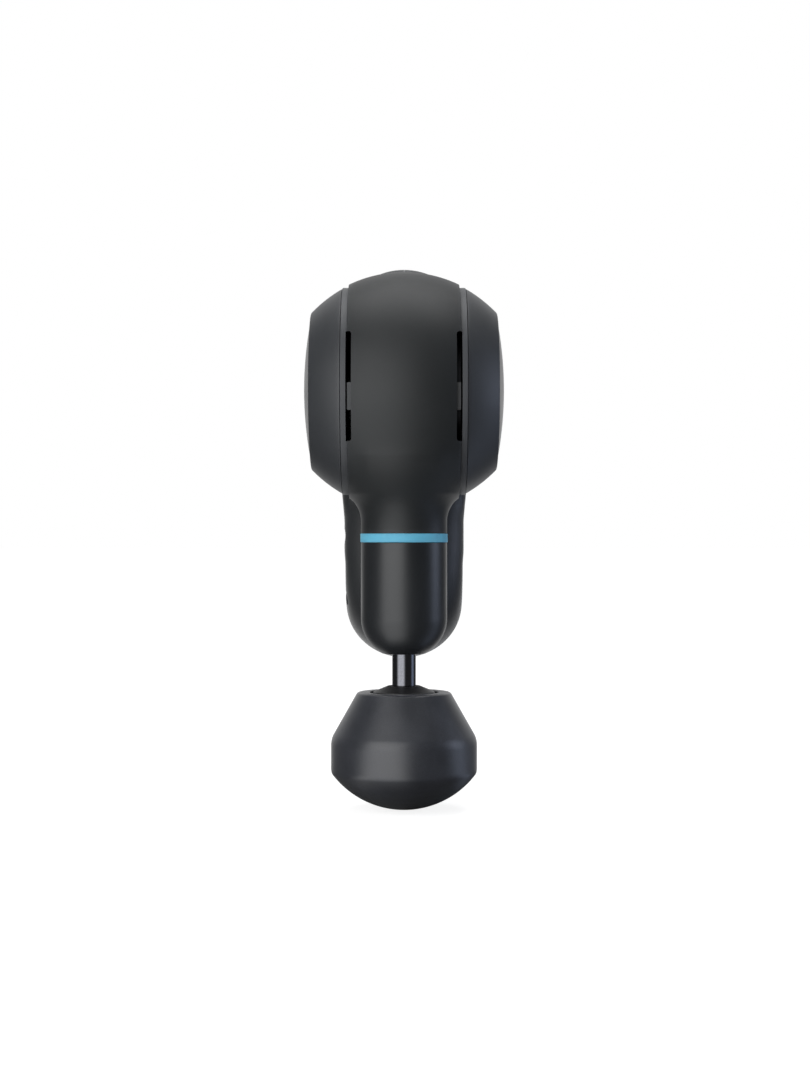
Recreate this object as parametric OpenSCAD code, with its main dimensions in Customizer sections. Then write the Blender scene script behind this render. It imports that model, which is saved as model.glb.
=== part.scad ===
// Percussion massager with a turning arm on a triangular loop handle.
// Lengths in millimetres; X runs along the drum axis, +Y to the rear, +Z up.
// The sub-parts are drawn about the drum centre and set down about the grip on the top bar.

/* [Drum] */
// Width of the crowned band between its two edges
band_w = 39.2; // [34:0.2:44]
// Radius of the band at its edges
band_edge_r = 38.3; // [36.5:0.1:40]
// Rise of the crown in the middle of the band
band_crown = 4.4; // [2.5:0.1:5.5]
// Wall of the drum at the band's edges
drum_wall = 3; // [2:0.1:4]
// How far the side plates' rims lie below the band's edges
plate_drop = 1.2; // [0.4:0.1:1.8]
// Thickness of a side plate
plate_t = 2.3; // [1.8:0.1:3]
// Length of a vent slot
vent_len = 37.6; // [20:0.2:46]
// Height of the vent slot's middle above the drum axis
vent_mid = -0.6; // [-4:0.1:4]
// Cut of the vent slot into the band's edge
vent_in = 1.2; // [0.5:0.1:1.6]
// Cut of the vent slot into the side plate's rim
vent_out = 0.9; // [0.5:0.1:1.6]
// Length of the tab that bridges a vent slot
tab_len = 9.3; // [5:0.1:16]
// Height of the tab's middle above the drum axis
tab_mid = -4.2; // [-6:0.1:5]

/* [Arm] */
// Radius of the neck and the nose
neck_r = 15.5; // [14:0.1:17]
// Fillet between the neck and the drum
neck_fillet = 10.5; // [7:0.1:12]
// Distance from the drum axis to the foot of that fillet
fillet_foot = 46.6; // [45:0.1:50]
// Distance from the drum axis to the end of the neck
neck_end = 51; // [50.5:0.1:56]
// Width of the accent ring
ring_w = 3.2; // [2:0.1:5]
// How far the accent ring stands proud of the neck
ring_proud = 0.2; // [0:0.1:0.4]
// Length of the nose below the ring
nose_len = 40; // [36:0.2:48]
// Length of the nose's rounded end
nose_round = 12.9; // [9:0.1:16]
// Radius of the flat at the tip of the nose
nose_flat_r = 7.5; // [7.2:0.1:9]

/* [Drive] */
// Stroke of the plunger
stroke = 16; // [10:0.5:16]
// Radius of the plunger shaft
shaft_r = 4.3; // [3.5:0.1:5]
// Length of shaft that shows between nose and head at mid stroke
shaft_show = 11.5; // [9.5:0.1:18]
// Depth of shaft inside the head's hub
shaft_in_hub = 14; // [10:0.5:18]
// Room between the motor's can and the trunnion round it
motor_gap = 0.6; // [0.3:0.1:2.4]
// Radius of the motor shaft
motor_shaft_r = 3; // [2:0.1:4]
// Radius of the crank's roller
roller_r = 5; // [4:0.1:6]
// Room above and below the roller in the yoke's slot
yoke_play = 0.6; // [0.55:0.05:1]

/* [Head] */
// Radius of the massage head
head_r = 26.25; // [22:0.1:32]
// Radius of the head's flat top
head_top_r = 16.7; // [15:0.1:18]
// Height of the head's cone
head_cone_h = 16.8; // [14:0.1:24]
// Height of the head's straight side
head_side_h = 12; // [6:0.1:18]
// Height of the head's dome
head_dome_h = 13.4; // [8:0.1:18]
// Radius of the hub's collar
hub_r = 11.1; // [9:0.1:12]
// Rise of the hub's collar above the head
hub_rise = 2.3; // [2:0.1:4]

/* [Side caps] */
// How far the caps' bases lie below the plates' rims
cap_drop = 0.4; // [0.1:0.1:1]
// Radius of a side cap's face
cap_face_r = 28.1; // [27.5:0.1:30]
// Distance from the drum centre to a side cap's face
cap_face_x = 33.2; // [32.5:0.1:36]
// Bulge of the cap's bevel
cap_bulge = 0.5; // [0.2:0.1:1.2]
// Radius of the side discs
disc_r = 27; // [25:0.1:27.2]
// Rise of a side disc's dome above the cap's face
disc_rise = 2.8; // [1.5:0.1:4]
// Travel of the release button
release_travel = 2.5; // [1.5:0.1:2.8]

/* [Handle] */
// Half width of the handle's bars
bar_a = 22.4; // [20.5:0.1:23]
// Half thickness of the handle's bars
bar_b = 14.5; // [13.5:0.1:16]
// Radius of the bars' centre line in the corners
bend_r = 20; // [19:0.5:24]
// Slope of the top bar down to the rear
top_slope = 10; // [6:0.5:14]
// Distance of the grip point behind the drum axis
grip_y = 70; // [66:0.5:76]
// Height of the grip point above the drum axis
grip_z = 26; // [25:0.5:28]
// Distance of the front bar's centre line behind the drum axis
front_y = 35; // [34.5:0.1:38]
// Height of the bottom corner's centre below the drum axis
low_z = 62.1; // [56:0.1:70]
// Distance of the rear corner's centre behind the drum axis
rear_y = 97.5; // [92:0.5:110]
// How far the bottom corner swells outwards
low_swell = 2.3; // [0:0.1:4]
// How far the widest line of the bottom corner lies inside the middle of the bar
low_sink = 2.6; // [0:0.1:4]
// Length of the rounding at the front end of the top bar, over the drum
hood_round = 3.2; // [1:0.1:5]
// Wall of the handle's half shells
shell_wall = 2.2; // [1.6:0.1:3]
// Gap between the band and the handle behind it
drum_gap = 1.2; // [0.8:0.1:2]
// Thickness of the fork's cheeks
cheek_t = 2.4; // [2:0.1:3]

/* [Pivot] */
// Radius of the hollow trunnions
trunnion_r = 24; // [22.5:0.1:24.4]
// Wall of a trunnion
trunnion_wall = 3; // [2:0.1:3.4]
// Wall of a pivot bush
bush_wall = 1.9; // [1.2:0.1:2.5]
// Radial play of a running fit
run_fit = 0.05; // [0.03:0.01:0.08]
// Radial play of a piece that is pressed or glued in
seat_fit = 0.02; // [0.01:0.01:0.05]
// Gap between faces that pass each other
face_gap = 0.3; // [0.2:0.05:0.4]

/* [Controls and power] */
// Radius of the power button
button_r = 6.5; // [5:0.1:8]
// Travel of the power button
button_travel = 1; // [0.5:0.1:1.5]
// Distance of the power button behind the grip point
button_along = 17; // [12:0.5:20]
// Radius of a battery cell
cell_r = 9.1; // [8:0.1:9.3]
// Length of a battery cell
cell_len = 65; // [50:1:66]

/* [Hidden] */
$fn = 96;

charcoal = "#3a3b3d";
graphite = "#2a2b2d";
black_rubber = "#1b1b1c";
foam_grey = "#45464b";
accent_blue = "#5aaed3";
steel = "#b9bcc0";
dark_chrome = "#4a4b50";
brass = "#b58a4a";
board_green = "#24543a";
cell_blue = "#35506e";
light_white = "#d8dde2";

// Radii about the drum axis
band_crown_r = band_edge_r + band_crown;
drum_bore_r = band_edge_r - drum_wall;
plate_r = band_edge_r - plate_drop;
cap_r = plate_r - cap_drop;
cheek_r = cap_r - 2.4;

// Stations along the drum axis, counted from its middle
band_x = band_w / 2;
plate_x = band_x + plate_t;
cheek_in_x = plate_x + face_gap;
cheek_out_x = cheek_in_x + cheek_t;
trunnion_x = cheek_out_x + 2.4;
drum_clear_r = band_crown_r + drum_gap;
trunnion_bore_r = trunnion_r - trunnion_wall;
bush_bore_r = trunnion_r + run_fit;
bush_r = bush_bore_r + bush_wall;
bush_flange_r = bush_r + 2.5;
bush_flange_t = 1;
cheek_hole_r = bush_r + face_gap;

// Distances below the drum axis along the arm
ring_end = neck_end + ring_w;
nose_end = ring_end + nose_len;
hub_top = nose_end + shaft_show;
head_top = hub_top + hub_rise;
cone_end = head_top + head_cone_h;
side_end = cone_end + head_side_h;
head_end = side_end + head_dome_h;
shaft_end = hub_top + shaft_in_hub;

// The loop of the handle, as arcs and lines in the Y-Z plane
rear_drop = (rear_y - grip_y + bend_r * sin(top_slope)) * tan(top_slope);
rear_c = [rear_y, grip_z - bend_r * cos(top_slope) - rear_drop];
low_c = [front_y + bend_r, -low_z];
low_ang = atan2(rear_c[1] - low_c[1], rear_c[0] - low_c[0]);
hub_b = 8;
hub_y = drum_clear_r + hub_b;
corner_c = [hub_y + bend_r, rear_c[1] + (rear_y - hub_y - bend_r) * tan(top_slope)];
sway_foot = -low_z + 4;
sway_top = -8;
sway_half = atan2(hub_y - front_y, sway_top - sway_foot);
sway_turn = 2 * sway_half;
sway_r = (sway_top - sway_foot) / 2 / sin(sway_turn);
fork_a = bar_a + 0.4;
low_dir = [cos(low_ang - 90), sin(low_ang - 90)];
top_dir = [cos(90 - top_slope), sin(90 - top_slope)];

function mix(p, q, k) = p + (q - p) * k;
function arc(c, r, from, to, s0, s1, n) = [
  for (i = [0 : n - 1])
    let (t = mix(from, to, i / n), s = mix(s0, s1, i / n))
    concat([c[0] + r * cos(t), c[1] + r * sin(t), t + (to > from ? 90 : -90)], s)
];
function line(p, q, s0, s1, n) = [
  for (i = [0 : n - 1])
    let (m = mix(p, q, i / n), s = mix(s0, s1, i / n))
    concat([m[0], m[1], atan2(q[1] - p[1], q[0] - p[0])], s)
];

// Half width, half thickness, swell and sink of the bar at the stations where they change
low_a = bar_a - 0.2;
size_low = [low_a, bar_b, low_swell, low_sink];
size_toe = [low_a, bar_b, 0, 0];
size_front = [bar_a + 0.4, bar_b, 0, 0];
size_sway = [mix(bar_a, fork_a, 0.6), mix(bar_b, hub_b, 0.55), 0, 0];
size_hub = [fork_a, hub_b, 0, 0];
size_top = [mix(bar_a, fork_a, 0.5), bar_b, 0, 0];
size_rear = [bar_a, bar_b, 0, 0];

loop = concat(
  line([front_y, -low_z], [front_y, sway_foot], size_toe, size_front, 1),
  arc([front_y + sway_r, sway_foot], sway_r, 180, 180 - sway_turn, size_front, size_sway, 4),
  arc([hub_y - sway_r, sway_top], sway_r, -sway_turn, 0, size_sway, size_hub, 4),
  line([hub_y, sway_top], [hub_y, corner_c[1]], size_hub, size_hub, 1),
  arc(corner_c, bend_r, 180, 90 - top_slope, size_hub, size_top, 6),
  line(corner_c + bend_r * top_dir, rear_c + bend_r * top_dir, size_top, size_rear, 2),
  arc(rear_c, bend_r, 90 - top_slope, low_ang - 90, size_rear, size_rear, 8),
  line(rear_c + bend_r * low_dir, low_c + bend_r * low_dir, size_rear, size_low, 2),
  arc(low_c, bend_r, low_ang - 90, -90, size_low, size_low, 4),
  arc(low_c, bend_r, -90, -180, size_low, size_toe, 6)
);

module along_x() rotate([0, 90, 0]) children();
module in_side_view() rotate([90, 0, 90]) children();
oval_steps = 16;
module oval(a, b) scale([a / b, 1]) circle(b, $fn = 2 * oval_steps);

// One half of a bar of oval section, swept round the loop; the hollow reaches past the seam.
// Its outer side is thicker by the swell, and its widest line lies inwards by the sink
function half_oval(s, inset, past) = [
  for (k = [0 : oval_steps])
    let (
      q = 180 * k / oval_steps - 90,
      thick = q > 0 ? s[4] + s[5] + s[6] : s[4] - s[6],
      h = (thick - inset) * sin(q) - s[6],
      end = k == 0 || k == oval_steps
    )
    [end ? -past : (s[3] - inset) * cos(q), s[0] - h * sin(s[2]), s[1] + h * cos(s[2])]
];
module half_loop(inset, past) {
  count = len(loop);
  ring = oval_steps + 1;
  total = count * ring;
  points = [for (s = loop) each half_oval(s, inset, past)];
  faces = [
    for (i = [0 : count - 1], k = [0 : ring - 1], half = [0, 1])
      let (p = i * ring + k, q = i * ring + (k + 1) % ring)
      half == 0
        ? [p, q, (p + ring) % total]
        : [q, (q + ring) % total, (p + ring) % total]
  ];
  polyhedron(points, faces, convexity = 6);
}

// The top bar runs on over the drum as a hood
hood_y = 23.5;
hood_size = [19, 13.9];
hood_tip = hood_size - 0.7 * [hood_round, hood_round];
function on_top_line(y) = [y, grip_z - (y - grip_y) * tan(top_slope)];
module half_slice(spot, size, inset, past) translate([0, spot[0], spot[1]]) rotate([-top_slope - 90, 0, 0])
  linear_extrude(0.5) intersection() {
    oval(size[0] - inset, size[1] - inset);
    translate([-past, -2 * bar_a]) square(4 * bar_a);
  }
hood_root = [size_top[0] - 0.7, size_top[1] - 0.5];
module half_hood(inset, past) hull() {
  half_slice(on_top_line(corner_c[0] + bend_r * top_dir[0] + 3), hood_root, inset, past);
  half_slice(on_top_line(hood_y + hood_round + inset), hood_size, inset, past);
  half_slice(on_top_line(hood_y + inset), hood_tip, inset, past);
}

module drum_cylinder(r, half) along_x() cylinder(r = r, h = 2 * half, center = true);

// The fork's cheek is a disc that runs back into the bars as a fan about the drum axis
fan_from = -45;
fan_to = 40;
fan_r = hub_y + 4.4;
fan_edge_x = 19;
fan_root_x = 10;
fan_inner_r = cheek_r - 4;
module fork_cheek() {
  along_x() translate([0, 0, cheek_in_x - 0.5]) cylinder(r = cheek_r, h = cheek_t + 0.5);
  in_side_view() rotate(fan_from) rotate_extrude(angle = fan_to - fan_from) polygon([
    [fan_inner_r, cheek_in_x - 0.5], [fan_inner_r, cheek_out_x], [drum_clear_r + 2, cheek_out_x],
    [fan_r, fan_edge_x], [fan_r, fan_root_x],
    [drum_clear_r - 1, fan_root_x], [drum_clear_r - 1, cheek_in_x - 0.5]
  ]);
}
screw_spots = [
  rear_c + bend_r * [cos(25), sin(25)],
  low_c + bend_r * [cos(-140), sin(-140)],
  on_top_line(corner_c[0] - 12),
  [front_y + 1, sway_foot + 6]
];
screw_r = 1.5;
screw_head_r = 2.8;
screw_head_h = 2;
screw_boss_r = 3.6;
screw_seat_x = bar_a - 4;
screw_tip_x = 12;
button_spot = on_top_line(grip_y + button_along);
button_flange_r = button_r + 1.6;
light_pitch = 3.5;
light_r = 1;
light_count = 3;
inlet_r = 5.2;
inlet_len = 13;
inlet_bore_r = 3.2;
inlet_depth = 9.5;
inlet_spot = [low_c[0], low_c[1] - bend_r - bar_b - low_swell + 0.6];

// Sets its children at a spot of the top bar, with Z square to the bar
module on_top_bar(spot) translate([0, spot[0], spot[1]]) rotate([-top_slope, 0, 0]) children();

module light_row() for (i = [1 : light_count]) translate([0, -button_r - 2 - i * light_pitch, 0]) children();
module screw_row() for (spot = screw_spots) translate([0, spot[0], spot[1]]) along_x() children();

module handle_openings(head_side) {
  drum_cylinder(drum_clear_r, cheek_in_x);
  drum_cylinder(cheek_hole_r, cheek_out_x + 1);
  screw_row() {
    translate([0, 0, -1])
      cylinder(r = screw_r + face_gap / 2, h = head_side ? 2 * bar_a : screw_tip_x + 2, $fn = 16);
    if (head_side) translate([0, 0, screw_seat_x]) cylinder(r = screw_head_r + face_gap, h = bar_a, $fn = 20);
  }
  on_top_bar(button_spot) {
    cylinder(r = button_r + face_gap, h = 2 * bar_b, $fn = 40);
    cylinder(r = button_flange_r + face_gap, h = bar_b - shell_wall, $fn = 40);
    light_row() cylinder(r = light_r + face_gap / 2, h = 2 * bar_b, $fn = 16);
  }
  translate([0, inlet_spot[0], inlet_spot[1] - 5])
    cylinder(r = inlet_r + face_gap / 2, h = inlet_len, $fn = 32);
}

module handle_half(head_side) color(charcoal) difference() {
  union() {
    difference() {
      union() {
        half_loop(0, 0);
        half_hood(0, 0);
      }
      difference() {
        union() {
          half_loop(shell_wall, 1);
          half_hood(shell_wall, 1);
        }
        drum_cylinder(drum_clear_r + shell_wall, 60);
      }
    }
    fork_cheek();
    screw_row() cylinder(r = screw_boss_r, h = screw_seat_x + 2, $fn = 20);
  }
  handle_openings(head_side);
}
module handle_shell_left() mirror([1, 0, 0]) handle_half(true);
module handle_shell_right() handle_half(false);

module handle_screws() color(steel) screw_row() {
  translate([0, 0, -screw_seat_x - screw_head_h]) cylinder(r = screw_head_r, h = screw_head_h);
  translate([0, 0, -screw_seat_x - 0.5]) cylinder(r = screw_r, h = screw_seat_x + screw_tip_x + 0.5);
}

// Profile of a revolved cap: radius across, distance from the drum's middle upwards
cap_chord = [cap_face_r - cap_r, cap_face_x - cheek_in_x];
cap_half = norm(cap_chord) / 2;
cap_arc_r = (cap_half * cap_half + cap_bulge * cap_bulge) / (2 * cap_bulge);
cap_mid = [(cap_r + cap_face_r) / 2, (cheek_in_x + cap_face_x) / 2];
cap_normal = [cap_chord[1], -cap_chord[0]] / (2 * cap_half);
cap_arc_c = cap_mid - (cap_arc_r - cap_bulge) * cap_normal;
cap_wall = 2.2;
cap_lip_r = disc_r + face_gap;
cap_floor_x = cap_face_x - 3.7;
cap_floor_t = 1.6;
cup_r = 9;
cup_wall = 1.2;
cup_x = cap_floor_x - 2.8;
stem_r = 5;

// Outline of the cap from its base to its face, with the bevel as short chords of its arc
cap_chords = 8;
module cap_outline(inset) {
  r = cap_arc_r - inset;
  base = asin((cheek_in_x - cap_arc_c[1]) / r);
  face = asin((cap_face_x - cap_arc_c[1]) / r);
  bevel = [
    for (k = [0 : cap_chords])
      let (t = mix(base, face, k / cap_chords))
      cap_arc_c + r * [cos(t), sin(t)]
  ];
  polygon(concat([[0, cheek_in_x]], bevel, [[0, cap_face_x]]));
}

module cap_hollow(spring_cup) difference() {
  rotate_extrude() intersection() {
    cap_outline(cap_wall);
    square([cap_r, cap_floor_x - cap_floor_t]);
  }
  if (spring_cup) translate([0, 0, cup_x - cup_wall]) cylinder(r = cup_r + cup_wall, h = cap_floor_x - cup_x);
}

// The cap's skirt is cut away where the fork's cheek runs back into the handle
skirt_room = 2;
module skirt_cut() in_side_view() rotate(fan_from - skirt_room)
  rotate_extrude(angle = fan_to - fan_from + 2 * skirt_room)
    translate([fan_inner_r, cheek_in_x - 1]) square([20, cheek_t + 1 + face_gap]);

module side_cap(spring_cup) color(charcoal) difference() {
  along_x() difference() {
    rotate_extrude() cap_outline(0);
    cap_hollow(spring_cup);
    translate([0, 0, cheek_in_x - 1]) cylinder(r = cheek_r + face_gap, h = cheek_t + 1);
    translate([0, 0, cap_floor_x]) cylinder(r = cap_lip_r, h = cap_face_x);
    if (spring_cup) {
      translate([0, 0, cup_x]) cylinder(r = cup_r, h = cap_face_x);
      cylinder(r = stem_r + run_fit, h = cap_face_x);
    }
  }
  skirt_cut();
}
module side_cap_left() mirror([1, 0, 0]) side_cap(true);
module side_cap_right() side_cap(false);

// Domed disc that fills the cap's mouth; a skirt under its rim stands on the cap's floor
disc_rim_x = cap_face_x - 0.2;
disc_arc_r = (disc_r * disc_r + disc_rise * disc_rise) / (2 * disc_rise);
disc_t = 1.3;
disc_skirt_t = 1.8;
disc_seat = disc_rim_x - cap_floor_x;
button_skirt = disc_seat - release_travel - face_gap;
spigot_r = 3;
stem_end_x = disc_rim_x + 0.9;
button_back_x = disc_rim_x - button_skirt;

module disc_section(depth) intersection() {
  translate([0, disc_rim_x + disc_rise - disc_arc_r]) circle(disc_arc_r, $fn = 720);
  translate([0, disc_rim_x - depth]) square([disc_r, depth + disc_rise + 1]);
}

module side_disc() color(graphite) along_x() rotate_extrude() difference() {
  disc_section(disc_seat);
  translate([-1, cap_floor_x - 1]) square([disc_r - disc_skirt_t + 1, disc_seat + 1 - disc_t]);
}

// Release button of the arm's clutch, a disc like the fixed one on the other side
module release_button() color(graphite) mirror([1, 0, 0]) along_x() difference() {
  rotate_extrude() disc_section(button_skirt);
  cylinder(r = spigot_r + seat_fit, h = stem_end_x);
}

clutch_r = trunnion_bore_r - 0.5;
clutch_t = 1.9;
lip_t = 1.6;
lip_room = 3.8;
lip_r = cup_r + cup_wall + lip_room;
lip_x = trunnion_x - lip_t;
clutch_x = lip_x - face_gap;

module release_stem() color(steel) mirror([1, 0, 0]) along_x() {
  translate([0, 0, clutch_x - clutch_t - 1.5]) cylinder(r = spigot_r, h = clutch_t + 2);
  translate([0, 0, clutch_x]) cylinder(r = stem_r, h = button_back_x - clutch_x);
  translate([0, 0, button_back_x - 0.5]) cylinder(r = spigot_r, h = stem_end_x - button_back_x + 0.5);
}

// Friction disc that the spring draws against the trunnion's lip
module clutch_disc() color(black_rubber) mirror([1, 0, 0]) along_x() translate([0, 0, clutch_x - clutch_t])
  difference() {
    cylinder(r = clutch_r, h = clutch_t);
    translate([0, 0, -1]) cylinder(r = spigot_r + seat_fit, h = clutch_t + 2);
  }

spring_r = 7.4;
spring_wire = 0.45;
spring_turns = 3;
spring_steps = 16;
wire_sides = 6;
function coil_ring(t, z) = [
  for (k = [0 : wire_sides - 1])
    let (q = 360 * k / wire_sides, r = spring_r + spring_wire * cos(q))
    [r * cos(t), r * sin(t), z + spring_wire * sin(q)]
];
module coil(z0, z1) {
  n = spring_turns * spring_steps;
  rise = (z1 - z0 - 2 * spring_wire) / n;
  rings = [for (i = [0 : n]) each coil_ring(360 * i / spring_steps, z0 + spring_wire + rise * i)];
  sides = [
    for (i = [0 : n - 1], k = [0 : wire_sides - 1], half = [0, 1])
      let (a = wire_sides * i + k, b = wire_sides * i + (k + 1) % wire_sides)
      half == 0 ? [a, a + wire_sides, b] : [b, a + wire_sides, b + wire_sides]
  ];
  last = wire_sides * n;
  caps = [
    for (k = [1 : wire_sides - 2], e = [0, 1])
      e == 0 ? [0, k, k + 1] : [last, last + k + 1, last + k]
  ];
  polyhedron(rings, concat(sides, caps));
}
module release_spring() color(steel) mirror([1, 0, 0]) along_x()
  coil(cup_x + seat_fit, button_back_x - seat_fit);

module pivot_bush(side) color(brass) mirror([side > 0 ? 0 : 1, 0, 0]) along_x() difference() {
  union() {
    translate([0, 0, cheek_in_x + 0.1]) cylinder(r = bush_r, h = trunnion_x - cheek_in_x - 0.3);
    translate([0, 0, cheek_out_x]) cylinder(r = bush_flange_r, h = bush_flange_t);
  }
  cylinder(r = bush_bore_r, h = 2 * trunnion_x);
}
module pivot_bush_left() pivot_bush(-1);
module pivot_bush_right() pivot_bush(1);

// Two cells lie side by side in the lower bar
cell_gap = 0.4;
cell_off = cell_r + cell_gap / 2;
low_mid = (low_c + rear_c) / 2 + bend_r * low_dir;
cradle_t = 8;
cradle_inset = shell_wall + 0.4;
module along_low_bar() translate([0, low_mid[0], low_mid[1]]) rotate([low_ang - 90, 0, 0]) children();
module battery_cells() color(cell_blue) along_low_bar() for (side = [-1, 1]) {
  translate([side * cell_off, 0, -cell_len / 2]) cylinder(r = cell_r, h = cell_len);
  translate([side * cell_off, 0, cell_len / 2 - 0.1]) cylinder(r = 2.8, h = 1.3);
}
module battery_cradle() color(graphite) along_low_bar() for (end = [-1, 1])
  translate([0, 0, end * (cell_len / 2 - cradle_t)]) linear_extrude(cradle_t, center = true) difference() {
    oval(low_a - cradle_inset, bar_b - cradle_inset);
    for (side = [-1, 1]) translate([side * cell_off, 0]) circle(cell_r + seat_fit);
  }

// The board hangs under the top bar's roof, with the switch below the power button
board_w = 2 * (bar_a - shell_wall - 0.7);
board_front = 21.5;
board_len = 35.5;
board_t = 1.6;
board_z = 1;
board_hole_r = 1.4;
board_hole_in = 3;
light_set_back = 0.15;
switch_w = 6;
switch_h = 3.5;
switch_tip = 0.5;
switch_top = board_z + switch_h;
button_flange_t = 1.4;
button_proud = 0.7;
button_stem_r = 1.8;
button_seat = bar_b - shell_wall - face_gap;
button_stem_foot = switch_top + switch_tip + face_gap + button_travel;
module control_board() color(board_green) on_top_bar(button_spot)
  translate([0, -board_front, board_z - board_t]) difference() {
    translate([-board_w / 2, 0, 0]) cube([board_w, board_len, board_t]);
    for (side = [-1, 1], y = [board_hole_in, board_len - board_hole_in])
      translate([side * (board_w / 2 - board_hole_in), y, -1]) cylinder(r = board_hole_r, h = board_t + 2);
  }
module button_switch() color(black_rubber) on_top_bar(button_spot) {
  translate([-switch_w / 2, -switch_w / 2, board_z]) cube([switch_w, switch_w, switch_h]);
  translate([0, 0, switch_top - 0.1]) cylinder(r = button_stem_r, h = switch_tip + 0.1);
}
module power_button() color(graphite) on_top_bar(button_spot) {
  translate([0, 0, button_seat - button_flange_t]) cylinder(r = button_flange_r, h = button_flange_t);
  translate([0, 0, button_seat - 0.5]) cylinder(r = button_r, h = bar_b + button_proud - button_seat + 0.5);
  translate([0, 0, button_stem_foot]) cylinder(r = button_stem_r, h = button_seat - 0.5 - button_stem_foot);
}
module status_lights() color(light_white) on_top_bar(button_spot) light_row()
  translate([0, 0, board_z]) cylinder(r = light_r, h = bar_b - board_z - light_set_back);
module charge_inlet() color(black_rubber) translate([0, inlet_spot[0], inlet_spot[1]]) difference() {
  cylinder(r = inlet_r, h = inlet_len);
  translate([0, 0, -1]) cylinder(r = inlet_bore_r, h = inlet_depth + 1);
}

// The crowned band, a ring whose outside is an arc in section
crown_arc_r = (band_x * band_x + pow(band_crown_r - band_edge_r, 2)) / (2 * (band_crown_r - band_edge_r));
neck_flare = 5.1;
flare_r = neck_r + neck_flare;
neck_bore_r = 12.5;
neck_throat_r = 9.5;
bush_len = 8;
spigot_len = 1.5;
throat_z = neck_end - spigot_len - bush_len;
boss_ring_r = drum_bore_r - 2.7;
boss_r = 3.4;
boss_angles = [45, 135, 225, 315];

band_chords = 16;
module band_section() {
  reach = asin(band_x / crown_arc_r);
  crown = [
    for (k = [0 : band_chords])
      let (t = mix(-reach, reach, k / band_chords))
      [band_crown_r - crown_arc_r * (1 - cos(t)), crown_arc_r * sin(t)]
  ];
  polygon(concat([[drum_bore_r, -band_x]], crown, [[drum_bore_r, band_x]]));
}
module neck_section() difference() {
  union() {
    translate([0, -neck_end]) square([neck_r, neck_end - 28]);
    translate([0, -fillet_foot]) square([flare_r, fillet_foot - 28]);
  }
  translate([neck_r + neck_fillet, -fillet_foot]) circle(neck_fillet);
}

// A vent slot spans the seam between band and side plate; its band-side corners are rounded
vent_round = 0.8;
vent_w = vent_in + vent_out;
vent_floor = 0.74 * drum_bore_r;
module vent_shape() translate([band_x - vent_in, vent_mid]) {
  translate([vent_round, -vent_len / 2]) square([vent_w - vent_round, vent_len]);
  translate([0, -vent_len / 2 + vent_round]) square([vent_w, vent_len - 2 * vent_round]);
  for (end = [-1, 1]) translate([vent_round, end * (vent_len / 2 - vent_round)]) circle(vent_round);
}
module vent_cuts() for (side = [0, 1]) mirror([side, 0, 0])
  translate([0, -vent_floor, 0]) rotate([90, 0, 0]) linear_extrude(drum_clear_r - vent_floor) vent_shape();

module arm_housing() color(charcoal) difference() {
  union() {
    difference() {
      union() {
        along_x() rotate_extrude() band_section();
        intersection() {
          rotate_extrude() neck_section();
          cube([band_w, 100, 200], center = true);
        }
      }
      along_x() cylinder(r = drum_bore_r, h = 100, center = true);
    }
    for (t = boss_angles) rotate([t, 0, 0]) translate([0, boss_ring_r, 0]) along_x() difference() {
      cylinder(r = boss_r, h = band_w, center = true);
      cylinder(r = screw_r + seat_fit, h = band_w + 2, center = true);
    }
  }
  translate([0, 0, -neck_end - 1]) cylinder(r = neck_bore_r, h = neck_end + 1 - throat_z);
  translate([0, 0, -neck_end - 1]) cylinder(r = neck_throat_r, h = 40);
  vent_cuts();
}

plate_screw_len = 10;
plate_screw_sink = 1.5;
plate_screw_play = 0.15;
module plate_blank() difference() {
  union() {
    translate([0, 0, band_x]) cylinder(r = plate_r, h = plate_t);
    translate([0, 0, band_x]) cylinder(r = trunnion_r, h = trunnion_x - band_x);
  }
  cylinder(r = trunnion_bore_r, h = lip_x);
  for (t = boss_angles) rotate(t) translate([boss_ring_r, 0, 0]) {
    cylinder(r = screw_r + plate_screw_play, h = 2 * plate_x);
    translate([0, 0, plate_x - plate_screw_sink])
      cylinder(r = screw_head_r + plate_screw_play, h = 2 * plate_screw_sink);
  }
}
module arm_plate_left() color(graphite) difference() {
  mirror([1, 0, 0]) along_x() difference() {
    plate_blank();
    cylinder(r = lip_r, h = 2 * trunnion_x);
  }
  vent_cuts();
}
module arm_plate_right() color(graphite) difference() {
  along_x() difference() {
    plate_blank();
    cylinder(r = trunnion_bore_r, h = 2 * trunnion_x);
  }
  vent_cuts();
}
module plate_screws() color(steel) for (side = [0, 1], t = boss_angles) mirror([side, 0, 0]) along_x()
  rotate(t) translate([boss_ring_r, 0, 0]) {
    translate([0, 0, plate_x - plate_screw_sink]) cylinder(r = screw_head_r, h = plate_screw_sink - 0.1);
    translate([0, 0, plate_x - plate_screw_len]) cylinder(r = screw_r, h = plate_screw_len - 1);
  }

// A short tab closes the middle of each vent slot, set back from the surface
tab_set_back = 0.5;
tab_depth = 3.2;
tab_gap = 0.4;
module vent_tabs() color(graphite) for (side = [0, 1]) mirror([side, 0, 0]) intersection() {
  along_x() translate([0, 0, band_x - vent_in]) difference() {
    cylinder(r = plate_r - tab_set_back, h = vent_w - tab_gap);
    translate([0, 0, -vent_w]) cylinder(r = plate_r - tab_depth, h = 3 * vent_w);
  }
  translate([0, -drum_clear_r, tab_mid - tab_len / 2]) cube([band_w, drum_clear_r, tab_len]);
}

spigot_top = throat_z + bush_len;
module accent_ring() color(accent_blue) translate([0, 0, -ring_end]) difference() {
  cylinder(r = neck_r + ring_proud, h = ring_w);
  translate([0, 0, -1]) cylinder(r = neck_bore_r, h = ring_w + 2);
}

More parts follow.
